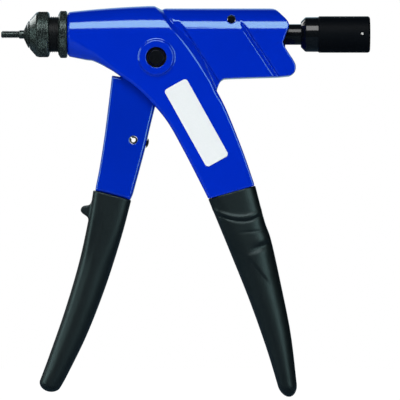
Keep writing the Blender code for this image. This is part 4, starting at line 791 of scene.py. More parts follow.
# %% Folds of the grips
COLLAR_PLACE = 14.2
COLLAR_SAG = 5.4
COLLAR_LEAN = 4.6
FOLDS = (
    {"place": 28.0, "lean": 2.9, "height": -0.3, "width": 0.9, "fade": (-0.5, 0.2)},
    {"place": 36.0, "lean": 0.0, "height": 0.9, "width": 3.6, "fade": (-0.2, 0.8)},
    {"place": 40.6, "lean": -1.5, "height": -0.9, "width": 2.0, "fade": (-0.25, 0.45)},
)
FACET_HEIGHT = 0.6
facet_edge = side_of((37.0, -143.0), (49.0, -157.7))
VALLEY_DEPTH = 0.55
VALLEY_WIDTH = 2.4
print("folds round the fixed grip:", len(FOLDS))


def ridge(value, width):
    """A soft ridge: 1 on the line where the value is 0, falling to 0 at about twice the width."""
    return np.exp(-(value / width) ** 2)


def fixed_relief(x, z):
    """Height in mm that is added to the flanks of the fixed grip: collar, folds and facet."""
    across, depth, down = fixed_form.coordinates(x, z)
    below = down * fixed_form.length
    collar = below - COLLAR_PLACE - COLLAR_SAG * (1 - across ** 2) - COLLAR_LEAN * across
    height = 0.8 * ridge(collar + 2.0, 1.7) - 0.6 * ridge(collar - 0.7, 1.1)
    for fold in FOLDS:
        line = below - fold["place"] - fold["lean"] * across
        height = height + fold["height"] * ridge(line, fold["width"]) * ease(across, *fold["fade"])
    facet = ease(-facet_edge(x, z), -0.6, 1.6) * ease(below, 41.0, 45.0) * (1 - ease(below, 54.0, 70.0))
    height = height + FACET_HEIGHT * facet
    return height * np.clip(1.25 - across ** 2, 0.0, 1.0)


def lever_relief(x, z):
    """Height in mm, below zero, of the long valley that sets the lever grip's front edge off."""
    across, depth, down = lever_form.coordinates(x, z)
    centre = -0.42 - 0.1 * down
    run_out = ease(down, 0.08, 0.2) * (1 - ease(down, 0.9, 1.0))
    return -VALLEY_DEPTH * (1 - 0.4 * down) * ridge((across - centre) * depth, VALLEY_WIDTH) * run_out


# %% Grips as fields
def fixed_grip_field(x, y, z):
    """The fixed handle's grip."""
    half, edge = GRIP_BORE
    grip = fixed_form(x, y, z) - fixed_relief(x, z) * ease(y, 1.0, 7.0)
    return cut(grip, rounded(fixed_cavity(x, z), y - half, edge), 0.4)


def lever_grip_field(x, y, z):
    """The lever's grip with its finger guard."""
    half, edge = LEVER_GRIP_BORE
    grip = lever_form(x, y, z) - lever_relief(x, z) * ease(y, 1.0, 6.0)
    grip = soft_min(grip, rounded(guard_side(x, z), y - GUARD_HALF, 1.2), 2.0)
    return cut(grip, rounded(lever_cavity(x, z), y - half, edge), 0.4)


fixed_grip = cast(
    "fixed_grip_sleeve", fixed_grip_field,
    steps_between(12.0, (78.0, 0.7)),
    steps_between(0.0, (16.0, 0.7)),
    steps_between(-243.0, (-98.0, 0.8)),
)
lever_grip = cast(
    "lever_grip_sleeve", lever_grip_field,
    steps_between(-100.0, (-33.0, 0.7)),
    steps_between(0.0, (14.0, 0.7)),
    steps_between(-243.0, (-100.0, 0.8)),
)

# %% [markdown]
# ## A small language for node trees
#
# Finishes and repeated forms are node trees. Written out socket by socket they are long and hard
# to read, so a small class stands for one output of a node and takes part in ordinary sums. The
# same class serves the shader trees and the Geometry Nodes trees below.


# %% Node trees that read like sums
class Wire:
    """One output of a node, with the operators of arithmetic."""

    def __init__(self, graph, socket):
        self.graph = graph
        self.socket = socket

    def __add__(self, other):
        return self.graph.maths("ADD", self, other)

    def __sub__(self, other):
        return self.graph.maths("SUBTRACT", self, other)

    def __rsub__(self, other):
        return self.graph.maths("SUBTRACT", other, self)

    def __mul__(self, other):
        return self.graph.maths("MULTIPLY", self, other)

    def __truediv__(self, other):
        return self.graph.maths("DIVIDE", self, other)

    def __mod__(self, other):
        return self.graph.maths("FLOORED_MODULO", self, other)

    __radd__ = __add__
    __rmul__ = __mul__


class Graph:
    """A node tree with one method for every kind of node."""

    def __init__(self, tree):
        self.tree = tree

    def node(self, kind, settings=None, inputs=None, output=0):
        """A new node with its settings and inputs, as the wire of one of its outputs."""
        made = self.tree.nodes.new(kind)
        for name, value in (settings or {}).items():
            setattr(made, name, value)
        for name, value in (inputs or {}).items():
            self.feed(made.inputs[name], value)
        return Wire(self, made.outputs[output])

    def feed(self, socket, value):
        """Link a wire to the socket, or write a plain value on it."""
        if isinstance(value, Wire):
            self.tree.links.new(value.socket, socket)
        else:
            socket.default_value = value

    def maths(self, operation, *values):
        """A Math node fed with wires or plain numbers."""
        return self.node("ShaderNodeMath", {"operation": operation}, dict(enumerate(values)))

    def blended(self, share, first, second):
        """One colour passing into another; sockets 6 and 7 of the Mix node are its colours."""
        return self.node("ShaderNodeMix", {"data_type": "RGBA"}, {0: share, 6: first, 7: second}, 2)


print("methods of a wire:", [part.strip("_") for part in vars(Wire) if callable(vars(Wire)[part])])

# %% [markdown]
# ## Finishes
#
# Every finish starts from the measured colour and adds what the real surface has: the orange-peel
# skin of sprayed enamel, the fine grain of black oxide, the pebbled skin of moulded plastic. The
# patterns lie on the object's own coordinates, so they stay put when the tool is turned. The
# lever's enamel is a darker copy of the housing's blues: painted shade, for the lever lying in less
# light.


# %% Colours and the finish class
def srgb(red, green, blue):
    """A screen colour from 0 to 255 as the linear colour that a shader takes."""
    return tuple(
        value / 12.92 if value <= 0.04045 else ((value + 0.055) / 1.055) ** 2.4
        for value in (red / 255, green / 255, blue / 255)
    ) + (1.0,)


class Finish(Graph):
    """A Principled surface in the making, written on the object's own coordinates."""

    def __init__(self, name, constants=None, slot=None):
        self.slot = slot or name
        self.material = bpy.data.materials.new(name + "_finish")
        self.material.use_nodes = True
        super().__init__(self.material.node_tree)
        self.surface = self.tree.nodes["Principled BSDF"]
        for label, value in (constants or {}).items():
            self.surface.inputs[label].default_value = value
        self.places = self.node("ShaderNodeTexCoord", output="Object")

    def give(self, socket, value):
        """Feed one of the surface's own sockets."""
        self.feed(self.surface.inputs[socket], value)

    def noise(self, size, detail=2.0, places=None):
        """Soft noise with features of about this size in millimetres."""
        return self.node("ShaderNodeTexNoise", inputs={
            "Vector": places or self.places, "Scale": 1.0 / (size * MM), "Detail": detail})

    def stretched(self, x, y, z):
        """The coordinates scaled along each axis, for grain that runs one way."""
        return self.node("ShaderNodeMapping", inputs={"Vector": self.places, "Scale": (x, y, z)})

    def relief(self, height, strength, depth):
        """Bump from a height wire: depth in millimetres at full strength. It comes last."""
        self.give("Normal", self.node("ShaderNodeBump", inputs={
            "Strength": strength, "Distance": depth * MM, "Height": height}))
        print(self.material.name, "has", len(self.tree.nodes), "nodes")


print("a middle grey of 128 is", round(srgb(128, 128, 128)[0], 3), "in linear light")


# %% Blue enamel
def sprayed(name, deep, light):
    """A glossy sprayed enamel that drifts between two blues."""
    paint = Finish(name, {"Specular Tint": (0.6, 1.0, 0.95, 1.0), "Specular IOR Level": 0.86},
                   slot="blue_paint")
    paint.give("Base Color", paint.blended(paint.noise(34.0, 1.0), deep, light))
    paint.give("Roughness", 0.09 + 0.03 * paint.noise(3.0))
    paint.relief(paint.noise(1.9, 1.0), 0.04, 0.25)
    return paint


enamel = sprayed("blue_paint", srgb(0, 38, 180), srgb(0, 42, 190))
# The lever gets the same paint in darker blues: painted shade where less light reaches the lever below
# the housing.
lever_enamel_painted_shade = sprayed("blue_paint_lever", srgb(0, 36, 163), srgb(0, 39, 172))

# %% [markdown]
# The nuts, the anvil, the mandrel and the circlip are steel with a black oxide finish. It is a
# thin, slightly uneven skin: darker in the tooling marks and lighter on the worn high spots.

# %% Black oxide steel
oxide = Finish("black_steel", {"Metallic": 0.6})
turning = oxide.noise(1.0, 3.0, oxide.stretched(3.0, 0.5, 0.5))
speckle = oxide.noise(0.8, 3.0)
worn = oxide.node("ShaderNodeMapRange", inputs={0: speckle, 1: 0.4, 2: 0.66})
oxide.give("Base Color", oxide.blended(worn, srgb(26, 33, 32), srgb(80, 93, 90)))
oxide.give("Roughness", 0.2 + 0.14 * speckle)
oxide.relief(speckle + 0.6 * turning, 0.25, 0.08)

# %% [markdown]
# The pivot pin, the cross pin and the rear shaft are ground before they are blackened, so they are
# smooth and almost black, with one narrow line of light. The sleeve between the two nuts has a
# thread all round, so it is as black but dull.

# %% Ground and blackened steel
pin_black = Finish("black_steel_ground", {"Specular IOR Level": 0.32}, slot="black_steel")
smear = pin_black.noise(4.0, 1.0)
pin_black.give("Base Color", pin_black.blended(smear, srgb(9, 12, 16), srgb(15, 18, 22)))
pin_black.give("Roughness", 0.13 + 0.07 * smear)
pin_black.relief(pin_black.noise(0.9), 0.05, 0.05)

# %% Dull thread of the sleeve
dull_black = Finish("black_steel_dull", {"Specular IOR Level": 0.14}, slot="black_steel")
scale = dull_black.noise(1.5, 2.0)
dull_black.give("Base Color", dull_black.blended(scale, srgb(10, 13, 16), srgb(17, 20, 22)))
dull_black.give("Roughness", 0.4 + 0.12 * scale)
dull_black.relief(scale, 0.1, 0.05)

# %% [markdown]
# The links, the crosshead, the washers, the balls and the spring are bare steel, with fine grain
# from grinding and drawing. They only show where the lever opens the housing.

# %% Bare steel
bright_steel = Finish("steel", {"Metallic": 1.0})
grain = bright_steel.noise(1.2, 3.0, bright_steel.stretched(3.0, 0.4, 0.4))
bright_steel.give("Base Color", bright_steel.blended(grain, srgb(138, 142, 142), srgb(172, 174, 174)))
bright_steel.give("Roughness", 0.24 + 0.2 * grain)
bright_steel.relief(grain, 0.2, 0.08)

# %% [markdown]
# The bushes are sintered bronze soaked in oil, which is much darker than bare bronze. The ring
# round the pivot pin is therefore nearly black.

# %% Oiled bronze
oiled_bronze = Finish("bronze", {"Metallic": 0.85})
pores = oiled_bronze.noise(0.5, 4.0)
oiled_bronze.give("Base Color", oiled_bronze.blended(pores, srgb(20, 17, 14), srgb(62, 50, 36)))
oiled_bronze.give("Roughness", 0.35 + 0.25 * pores)
oiled_bronze.relief(pores, 0.4, 0.1)

# %% [markdown]
# The grips are moulded in black plastic. Small pebbles from a spark-eroded mould break up the
# light, so the highlight along the grip is broad and soft.

# %% Moulded black grip
moulded = Finish("black_grip", {"Specular IOR Level": 0.45, "Specular Tint": (0.75, 0.98, 1.0, 1.0)})
pebbles = moulded.node("ShaderNodeTexVoronoi", {"feature": "SMOOTH_F1"}, {
    "Vector": moulded.places, "Scale": 1.0 / (1.1 * MM), "Smoothness": 0.6}, "Distance")
moulded.give("Base Color", moulded.blended(moulded.noise(9.0), srgb(8, 13, 15), srgb(13, 18, 20)))
moulded.give("Roughness", 0.38 + 0.12 * moulded.noise(2.0))
moulded.relief(pebbles + 0.5 * moulded.noise(0.5), 0.15, 0.12)

# %% [markdown]
# The knob is one moulding with two surfaces: its front collar comes polished out of the mould, and
# the grip behind it has a matt skin. A coat that ends at the step between them makes the polish.

# %% Black knob
KNOB_STEP = 88.7
POLISH_FADE = 0.8
POLISH = 0.75
knob_finish = Finish("knob_black", {"Specular IOR Level": 0.04, "Coat Roughness": 0.1})
fine = knob_finish.noise(0.6, 3.0)
along_knob = knob_finish.node("ShaderNodeSeparateXYZ", inputs={0: knob_finish.places})
polished = knob_finish.node("ShaderNodeMapRange", inputs={
    0: along_knob, 1: (KNOB_STEP - POLISH_FADE) * MM, 2: KNOB_STEP * MM, 3: POLISH, 4: 0.0})
knob_finish.give("Base Color", knob_finish.blended(fine, srgb(3, 6, 10), srgb(8, 11, 16)))
knob_finish.give("Roughness", 0.42 + 0.16 * fine)
knob_finish.give("Coat Weight", polished)
knob_finish.relief(fine, 0.2, 0.08)

# %% [markdown]
# Two small pins differ from the rest: the knob's cross pin is plated and pale, and the rolled pin
# in the lever is dark spring steel.

# %% Pale plated steel
pale_steel = Finish("steel_plated", {"Metallic": 0.3, "Roughness": 0.3}, slot="steel")
bloom = pale_steel.noise(0.9, 2.0)
pale_steel.give("Base Color", pale_steel.blended(bloom, srgb(196, 198, 198), srgb(226, 227, 225)))
pale_steel.relief(bloom, 0.1, 0.04)

# %% Spring steel
sprung_steel = Finish("steel_sprung", {"Metallic": 0.7, "Roughness": 0.3}, slot="steel")
temper = sprung_steel.noise(0.9, 2.0)
sprung_steel.give("Base Color", sprung_steel.blended(temper, srgb(38, 40, 44), srgb(66, 68, 72)))
sprung_steel.relief(temper, 0.1, 0.04)

# %% Rubber and label
soft_black = Finish("rubber", {"Specular IOR Level": 0.3})
dust = soft_black.noise(0.7, 3.0)
soft_black.give("Base Color", soft_black.blended(dust, srgb(12, 13, 14), srgb(22, 23, 24)))
soft_black.give("Roughness", 0.68 + 0.15 * dust)
soft_black.relief(dust, 0.3, 0.1)
film = Finish("label_white")
fibre = film.noise(1.4, 2.0)
film.give("Base Color", film.blended(fibre, srgb(221, 227, 229), srgb(227, 232, 234)))
film.give("Roughness", 0.32 + 0.1 * fibre)
film.relief(fibre, 0.08, 0.05)
print("finishes:", [m.name for m in bpy.data.materials if m.name.endswith("_finish")])


# %% Give a piece its finish and its body, and hide the solids it stands for
def dress(thing, nodes, body, finish):
    """Finish a piece: its material, the CAD body it rides on, and the hidden nodes it replaces."""
    thing.data.materials.clear()
    thing.data.materials.append(finish.material)
    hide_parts(*nodes)
    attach(thing, body)
    print(thing.name, "rides on", body, "with the finish", finish.slot)
    return thing


dress(housing, ["housing"], "root", enamel)
dress(lever, ["lever"], "lever_arm", lever_enamel_painted_shade)
dress(fixed_grip, ["fixed_grip"], "root", moulded)
dress(lever_grip, ["lever_grip"], "lever_arm", moulded)

# %% [markdown]
# ## Turned pieces
#
# Nuts, pins, bushes, the shaft and the knob are turned on a lathe, so each is one profile swept
# round an axis. A real turned edge is never perfectly sharp: every corner of the profile gets a
# small round, with a supporting point on each side so that the flat faces still shade flat.

# %% Lathe
ROOM_SHARE = 0.35
SUPPORT_SHARE = 0.2
LEAST_TURN = 0.12
print("a turned corner takes at most", ROOM_SHARE, "of its shorter side")


def soften(profile, corner):
    """The profile with small round corners and a supporting point on each side of them."""
    points = [np.array(point, float) for point in profile]
    solid = profile[0][1] == 0
    run = []
    for i, here in enumerate(points):
        if solid and i in (0, len(points) - 1):
            run.append(here)
            continue
        back = points[i - 1] - here
        onward = points[(i + 1) % len(points)] - here
        room = ROOM_SHARE * min(np.linalg.norm(back), np.linalg.norm(onward))
        back = back / np.linalg.norm(back)
        onward = onward / np.linalg.norm(onward)
        turn = math.acos(np.clip(-back @ onward, -1.0, 1.0))
        if turn < LEAST_TURN:
            run.append(here)
            continue
        trim = min(corner * math.tan(turn / 2), room)
        start = here + back * trim
        end = here + onward * trim
        run.append(start + back * SUPPORT_SHARE * trim)
        for t in (0, 1 / 3, 2 / 3, 1):
            run.append((1 - t) ** 2 * start + 2 * t * (1 - t) * here + t * t * end)
        run.append(end + onward * SUPPORT_SHARE * trim)
    return run


def lathe(name, profile, corner=0.3, steps=72, origin=(0.0, 0.0, 0.0), axis=(1.0, 0.0, 0.0)):
    """A turned piece from (place along the axis, radius) points, in millimetres."""
    run = soften(profile, corner)
    along = Vector(axis).normalized()
    side = along.orthogonal().normalized()
    up = along.cross(side)
    forms = bmesh.new()
    rings = []
    for place, radius in run:
        centre = Vector(origin) + along * place
        count = 1 if radius < 1e-6 else steps
        angles = [math.tau * i / count for i in range(count)]
        rings.append([
            forms.verts.new(((centre + (side * math.cos(a) + up * math.sin(a)) * radius) * MM
                             + Vector((0.0, 0.0, AXIS_HEIGHT))))
            for a in angles])
    if profile[0][1] > 0:
        rings.append(rings[0])
    for near, far in zip(rings, rings[1:]):
        for i in range(steps):
            j = (i + 1) % steps
            around = (near[i % len(near)], near[j % len(near)], far[j % len(far)], far[i % len(far)])
            corners = list(dict.fromkeys(around))
            if len(corners) > 2:
                forms.faces.new(corners)
    bmesh.ops.recalc_face_normals(forms, faces=forms.faces)
    mesh = bpy.data.meshes.new(name)
    forms.to_mesh(mesh)
    forms.free()
    mesh.shade_smooth()
    return show(name, mesh)


def drilled(thing, origin, axis, radius, depth=40.0):
    """A round hole through a piece."""
    drill_bit = lathe("drill_bit", [(-depth, 0.0), (-depth, radius), (depth, radius), (depth, 0.0)],
                      0.0, 40, origin, axis)
    cutter = thing.modifiers.new("hole", "BOOLEAN")
    cutter.operation = "DIFFERENCE"
    cutter.solver = "EXACT"
    cutter.object = drill_bit
    mesh = evaluated_mesh(thing)
    thing.modifiers.clear()
    thing.data = mesh
    bpy.data.objects.remove(drill_bit)
    mesh.shade_smooth()
    mesh.set_sharp_from_angle(angle=math.radians(50))
    return thing


# %% [markdown]
# ## Threads, knurls, spring and balls with Geometry Nodes
#
# What repeats on the real piece is made by repeating it here. A thread is a spiral that carries a
# small triangle, a knurl is a field of little pyramids that a knurling wheel presses up, the
# return spring is a spiral of wire, and the thrust bearing is one ball copied round a circle. Each
# tree takes its sizes through named inputs.


# %% Trees that grow a form
class Growth(Graph):
    """A Geometry Nodes tree with named sizes that adds a repeated form to a turned core."""

    def __init__(self, name, **sizes):
        super().__init__(bpy.data.node_groups.new(name, "GeometryNodeTree"))
        faces = self.tree.interface
        faces.new_socket("core", in_out="INPUT", socket_type="NodeSocketGeometry")
        faces.new_socket("result", in_out="OUTPUT", socket_type="NodeSocketGeometry")
        self.sizes = sizes
        for label, value in sizes.items():
            kind = "NodeSocketInt" if isinstance(value, int) else "NodeSocketFloat"
            faces.new_socket(label, in_out="INPUT", socket_type=kind)
        self.entry = self.tree.nodes.new("NodeGroupInput")

    def size(self, label):
        """The wire of one named size."""
        return Wire(self, self.entry.outputs[label])

    def point(self, x, y, z):
        """A place or a size from its three parts."""
        return self.node("ShaderNodeCombineXYZ", inputs={0: x, 1: y, 2: z})

    def close(self, form, finish):
        """Join the form to the core, make it real and give it its finish."""
        joined = self.tree.nodes.new("GeometryNodeJoinGeometry")
        self.tree.links.new(self.size("core").socket, joined.inputs[0])
        self.tree.links.new(form.socket, joined.inputs[0])
        real = self.node("GeometryNodeRealizeInstances", inputs={0: Wire(self, joined.outputs[0])})
        dressed = self.node("GeometryNodeSetMaterial", inputs={
            "Geometry": real, "Material": finish.material})
        outlet = self.tree.nodes.new("NodeGroupOutput")
        self.tree.links.new(dressed.socket, outlet.inputs[0])
        return self

    def grow(self, thing, **sizes):
        """Run the tree on a piece with these sizes and keep the result as its mesh."""
        grown = thing.modifiers.new("growth", "NODES")
        grown.node_group = self.tree
        for item in self.tree.interface.items_tree:
            if item.in_out == "INPUT" and item.name in self.sizes:
                grown[item.identifier] = sizes.get(item.name, self.sizes[item.name])
        mesh = evaluated_mesh(thing)
        thing.modifiers.clear()
        thing.data = mesh
        print(thing.name, len(mesh.polygons), "faces after", self.tree.name)
        return thing


def coil_tree(name, finish, points, turned):
    """A spiral along x that carries a section with this many points: a thread or a spring."""
    tree = Growth(name, start=0.0, turns=5.0, pitch=0.001, radius=0.01, wire=0.0005)
    spiral = tree.node("GeometryNodeCurveSpiral", inputs={
        "Resolution": 36, "Rotations": tree.size("turns"), "Start Radius": tree.size("radius"),
        "End Radius": tree.size("radius"), "Height": tree.size("turns") * tree.size("pitch"),
        "Reverse": False})
    steady = tree.node("GeometryNodeSetCurveNormal", inputs={"Curve": spiral})
    steady.socket.node.mode = "Z_UP"
    section = tree.node("GeometryNodeCurvePrimitiveCircle", inputs={
        "Resolution": points, "Radius": tree.size("wire")})
    section = tree.node("GeometryNodeTransform", inputs={
        "Geometry": section, "Rotation": (0.0, 0.0, turned)})
    swept = tree.node("GeometryNodeCurveToMesh", inputs={
        "Curve": steady, "Profile Curve": section, "Fill Caps": True})
    laid = tree.node("GeometryNodeTransform", inputs={
        "Geometry": swept, "Translation": tree.point(tree.size("start"), 0.0, AXIS_HEIGHT),
        "Rotation": (0.0, math.pi / 2, 0.0)})
    return tree.close(laid, finish)


thread_tree = coil_tree("rolled_thread", oxide, 3, math.pi)
spring_tree = coil_tree("spring_wire", bright_steel, 14, 0.0)

# %% [markdown]
# The knurl's pyramids stand in rows round the nut. Every second row is turned by half a pyramid,
# and each pyramid's foot lies a little inside the turned core, so that nothing hangs in the air.

# %% Knurl
KNURL_FOOT = 0.05 * MM
knurl_tree = Growth(
    "diamond_knurl", start=0.0, radius=0.015, length=0.006, around=72, rows=7, height=0.0003)
index = knurl_tree.node("GeometryNodeInputIndex")
row = knurl_tree.maths("FLOOR", index / knurl_tree.size("around"))
turn = index % knurl_tree.size("around") + 0.5 * (row % 2.0)
turn = turn * math.tau / knurl_tree.size("around")
row_step = knurl_tree.size("length") / (knurl_tree.size("rows") + 1.0)
cosine = knurl_tree.maths("COSINE", turn)
sine = knurl_tree.maths("SINE", turn)
foot = knurl_tree.size("radius") - KNURL_FOOT
spots = knurl_tree.node("GeometryNodePoints", inputs={
    "Count": knurl_tree.size("around") * knurl_tree.size("rows"),
    "Position": knurl_tree.point(knurl_tree.size("start") + (row + 1.0) * row_step, foot * cosine,
                                 foot * sine + AXIS_HEIGHT)})
pyramid = knurl_tree.node("GeometryNodeMeshCone", {"fill_type": "NGON"}, {
    "Vertices": 4, "Side Segments": 1, "Radius Top": 0.0, "Radius Bottom": 1.0, "Depth": 1.0})
outward = knurl_tree.node("FunctionNodeAlignRotationToVector", {"axis": "Z"}, {
    "Vector": knurl_tree.point(0.0, cosine, sine)})
pressed = knurl_tree.node("GeometryNodeInstanceOnPoints", inputs={
    "Points": spots, "Instance": pyramid, "Rotation": outward,
    "Scale": knurl_tree.point(row_step, knurl_tree.size("radius") * math.pi / knurl_tree.size("around"),
                              knurl_tree.size("height") + KNURL_FOOT)})
knurl_tree.close(pressed, oxide)
print("the knurl's tree has", len(knurl_tree.tree.nodes), "nodes")

# %% Ring of balls
ball_tree = Growth("ring_of_balls", place=0.04, circle=0.0064, ball=0.0015, balls=8)
ring = ball_tree.node("GeometryNodeMeshCircle", inputs={
    "Vertices": ball_tree.size("balls"), "Radius": ball_tree.size("circle")})
one_ball = ball_tree.node("GeometryNodeMeshUVSphere", inputs={
    "Segments": 32, "Rings": 16, "Radius": ball_tree.size("ball")})
copies = ball_tree.node("GeometryNodeInstanceOnPoints", inputs={"Points": ring, "Instance": one_ball})
standing = ball_tree.node("GeometryNodeTransform", inputs={
    "Geometry": copies, "Translation": ball_tree.point(ball_tree.size("place"), 0.0, AXIS_HEIGHT),
    "Rotation": (0.0, math.pi / 2, 0.0)})
ball_tree.close(standing, bright_steel)
print("trees:", [tree.name for tree in bpy.data.node_groups])

# %% [markdown]
# ## The nose
#
# From the front: the threaded mandrel, the domed anvil that the rivet nut's flange rests on, the
# knurled nose nut, a few turns of the sleeve's thread, and the knurled lock nut against the
# casting. The nose nut is screwed on the sleeve, and the lock nut fixes it.

# %% Nose pieces
NUT_RADIUS = 15.0
LOCK_RADIUS = 15.55
SLEEVE_RADIUS = 11.55
MANDREL_CORE = 2.05
anvil = lathe("anvil_dome", [
    (-96.8, 5.5), (-97.3, 6.0), (-104.2, 6.0), (-104.2, 9.1), (-104.6, 8.95), (-105.3, 7.95),
    (-106.3, 6.0), (-107.0, 4.4), (-107.5, 3.5), (-107.6, 3.1), (-96.8, 3.1),
], 0.4)
dress(anvil, ["anvil"], "nose", oxide)
nose_nut = lathe("nose_nut_knurled", [
    (-90.5, 12.9), (-90.8, 14.2), (-91.5, NUT_RADIUS), (-98.3, NUT_RADIUS), (-99.3, 14.7),
    (-103.6, 9.9), (-103.9, 8.7), (-103.9, 6.3), (-99.7, 6.3), (-99.7, 11.9), (-90.5, 11.9),
], 0.35, 96)
knurl_tree.grow(
    nose_nut, start=-98.2 * MM, radius=NUT_RADIUS * MM, length=6.6 * MM, around=84, rows=9,
    height=0.25 * MM)
dress(nose_nut, ["nose_nut"], "nose", oxide)
sleeve = lathe("sleeve_threaded", [
    (-58.6, 11.05), (-59.1, SLEEVE_RADIUS), (-98.9, SLEEVE_RADIUS), (-99.4, 11.05), (-99.4, 8.2),
    (-58.6, 8.2),
], 0.3, 96)
thread_tree.grow(
    sleeve, start=-91.2 * MM, turns=5.2, pitch=1.25 * MM, radius=11.35 * MM, wire=0.75 * MM)
dress(sleeve, ["nose_sleeve"], "root", dull_black)
lock_nut = lathe("lock_nut_knurled", [
    (-78.9, 15.15), (-79.5, LOCK_RADIUS), (-83.4, LOCK_RADIUS), (-84.7, 13.3), (-84.7, 11.9),
    (-78.9, 11.9),
], 0.35, 96)
knurl_tree.grow(
    lock_nut, start=-83.5 * MM, radius=LOCK_RADIUS * MM, length=4.2 * MM, around=88, rows=6,
    height=0.2 * MM)
dress(lock_nut, ["lock_nut"], "lock", oxide)
mandrel = lathe("mandrel_screw", [
    (-84.1, 0.0), (-84.1, 4.2), (-88.6, 4.2), (-88.6, 2.8), (-110.6, 2.8), (-111.2, MANDREL_CORE),
    (-122.4, MANDREL_CORE), (-122.9, 1.6), (-122.9, 0.0),
], 0.25, 48)
thread_tree.grow(
    mandrel, start=-122.2 * MM, turns=13.6, pitch=0.8 * MM, radius=2.12 * MM, wire=0.42 * MM)
dress(mandrel, ["mandrel"], "spindle", oxide)

# %% [markdown]
# ## The rear
#
# A thick shaft leaves the housing and carries the knob: a coned front, a smooth collar and a matt
# grip with a rounded rear corner. A thin cross pin ties knob and shaft together.

# %% Shaft and knob
ACROSS = (0.0, 1.0, 0.0)
SHAFT_RADIUS = 6.9
KNOB_RADIUS = 12.15
KNOB_PIN_PLACE = (117.5, 0.0, 0.0)
KNOB_PIN_HALF = 11.9
KNOB_PIN_CHAMFER = (0.25, 0.25)
shaft_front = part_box("spindle_shaft")[0].x / MM
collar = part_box("thrust_washer_rear")[1].x / MM + SEAT_GAP
shaft = lathe("knob_shaft", [
    (120.0, 0.0), (120.0, 6.4), (119.5, SHAFT_RADIUS), (collar + 2.8, SHAFT_RADIUS),
    (collar + 2.8, 8.2), (collar, 8.2), (collar, 4.0), (shaft_front, 4.0), (shaft_front, 0.0),
], 0.3)
dress(shaft, ["spindle_shaft"], "spindle", pin_black)
knob = lathe("rear_knob", [
    (122.9, 0.0), (122.9, 10.9), (122.5, 11.7), (121.6, KNOB_RADIUS), (89.2, KNOB_RADIUS),
    (88.5, 11.6), (80.4, 11.55), (79.7, 11.3), (77.3, 8.9), (76.9, 8.4), (76.9, 7.2), (120.3, 7.2),
    (120.3, 0.0),
], 0.35, 96)
drilled(knob, KNOB_PIN_PLACE, ACROSS, 1.2)
dress(knob, ["knob"], "spindle", knob_finish)


def pin(name, half, radius, chamfer, corner, steps, place):
    """A pin across the tool with chamfered ends; the chamfer is (along, inward) in mm."""
    along, inward = chamfer
    return lathe(name, [
        (-half, 0.0), (-half, radius - inward), (-half + along, radius), (half - along, radius),
        (half, radius - inward), (half, 0.0),
    ], corner, steps, place, ACROSS)


knob_pin = pin("knob_cross_pin", KNOB_PIN_HALF, 0.95, KNOB_PIN_CHAMFER, 0.15, 32, KNOB_PIN_PLACE)
dress(knob_pin, ["knob_pin"], "spindle", pale_steel)
print("the knob's pin is", 2 * KNOB_PIN_HALF, "mm long")

# %% [markdown]
# ## Pins and bushes
#
# The pivot pin ends in a chamfer at the near side and has a groove for its circlip at the far
# side. The cross pin and the knee pin are plain. Bushes and washers are rings where their solids'
# boxes are.

# %% Pivot, cross pin and bushes
PIVOT_RADIUS = 5.35
RING_GROOVE = 4.8
RING_ROOM = 0.3
PIN_CHAMFER = (0.5, 0.6)
KNEE_CHAMFER = (0.5, 0.5)
pivot_low, pivot_high = (value.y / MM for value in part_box("pivot_pin"))
ring_start, ring_end = (value.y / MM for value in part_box("pivot_circlip"))
pivot_pin = lathe("pivot_pin_head", [
    (pivot_high, 0.0), (pivot_high, 5.1), (pivot_high - 0.25, PIVOT_RADIUS),
    (ring_end + RING_ROOM, PIVOT_RADIUS), (ring_end + RING_ROOM, RING_GROOVE),
    (ring_start - RING_ROOM, RING_GROOVE), (ring_start - RING_ROOM, PIVOT_RADIUS),
    (pivot_low + 0.7, PIVOT_RADIUS), (pivot_low, 4.65), (pivot_low, 0.0),
], 0.2, 72, (PIVOT.x, 0.0, PIVOT.y), ACROSS)
dress(pivot_pin, ["pivot_pin"], "root", pin_black)
stop_pin = pin("stop_cross_pin", reach("stop_pin").y, 2.5, PIN_CHAMFER, 0.2, 48,
               (STOP_PIN.x, 0.0, STOP_PIN.y))
dress(stop_pin, ["stop_pin"], "root", pin_black)
knee_pin = pin("knee_joint_pin", reach("knee_pin").y, 3.5, KNEE_CHAMFER, 0.2, 48,
               (KNEE.x, 0.0, KNEE.y))
dress(knee_pin, ["knee_pin"], "lever_arm", bright_steel)
print("the pivot pin runs from", round(pivot_low, 2), "to", round(pivot_high, 2), "mm across")


def bush(name, node, outer, bore, axis, body, finish, chamfer=0.3):
    """A plain ring where a solid's box is, with chamfered ends."""
    low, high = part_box(node)
    way = "xyz".index(axis)
    centre = (low + high) / 2 / MM - Vector((0.0, 0.0, AXIS_HEIGHT / MM))
    half = (high - low)[way] / 2 / MM
    centre[way] = 0.0
    middle_place = ((low + high) / 2 / MM)[way]
    direction = [1.0 if k == way else 0.0 for k in range(3)]
    start = middle_place - half
    end = middle_place + half
    thing = lathe(name, [
        (end, outer - chamfer), (end - chamfer, outer), (start + chamfer, outer),
        (start, outer - chamfer), (start, bore), (end, bore),
    ], 0.1, 72, centre, direction)
    return dress(thing, [node], body, finish)


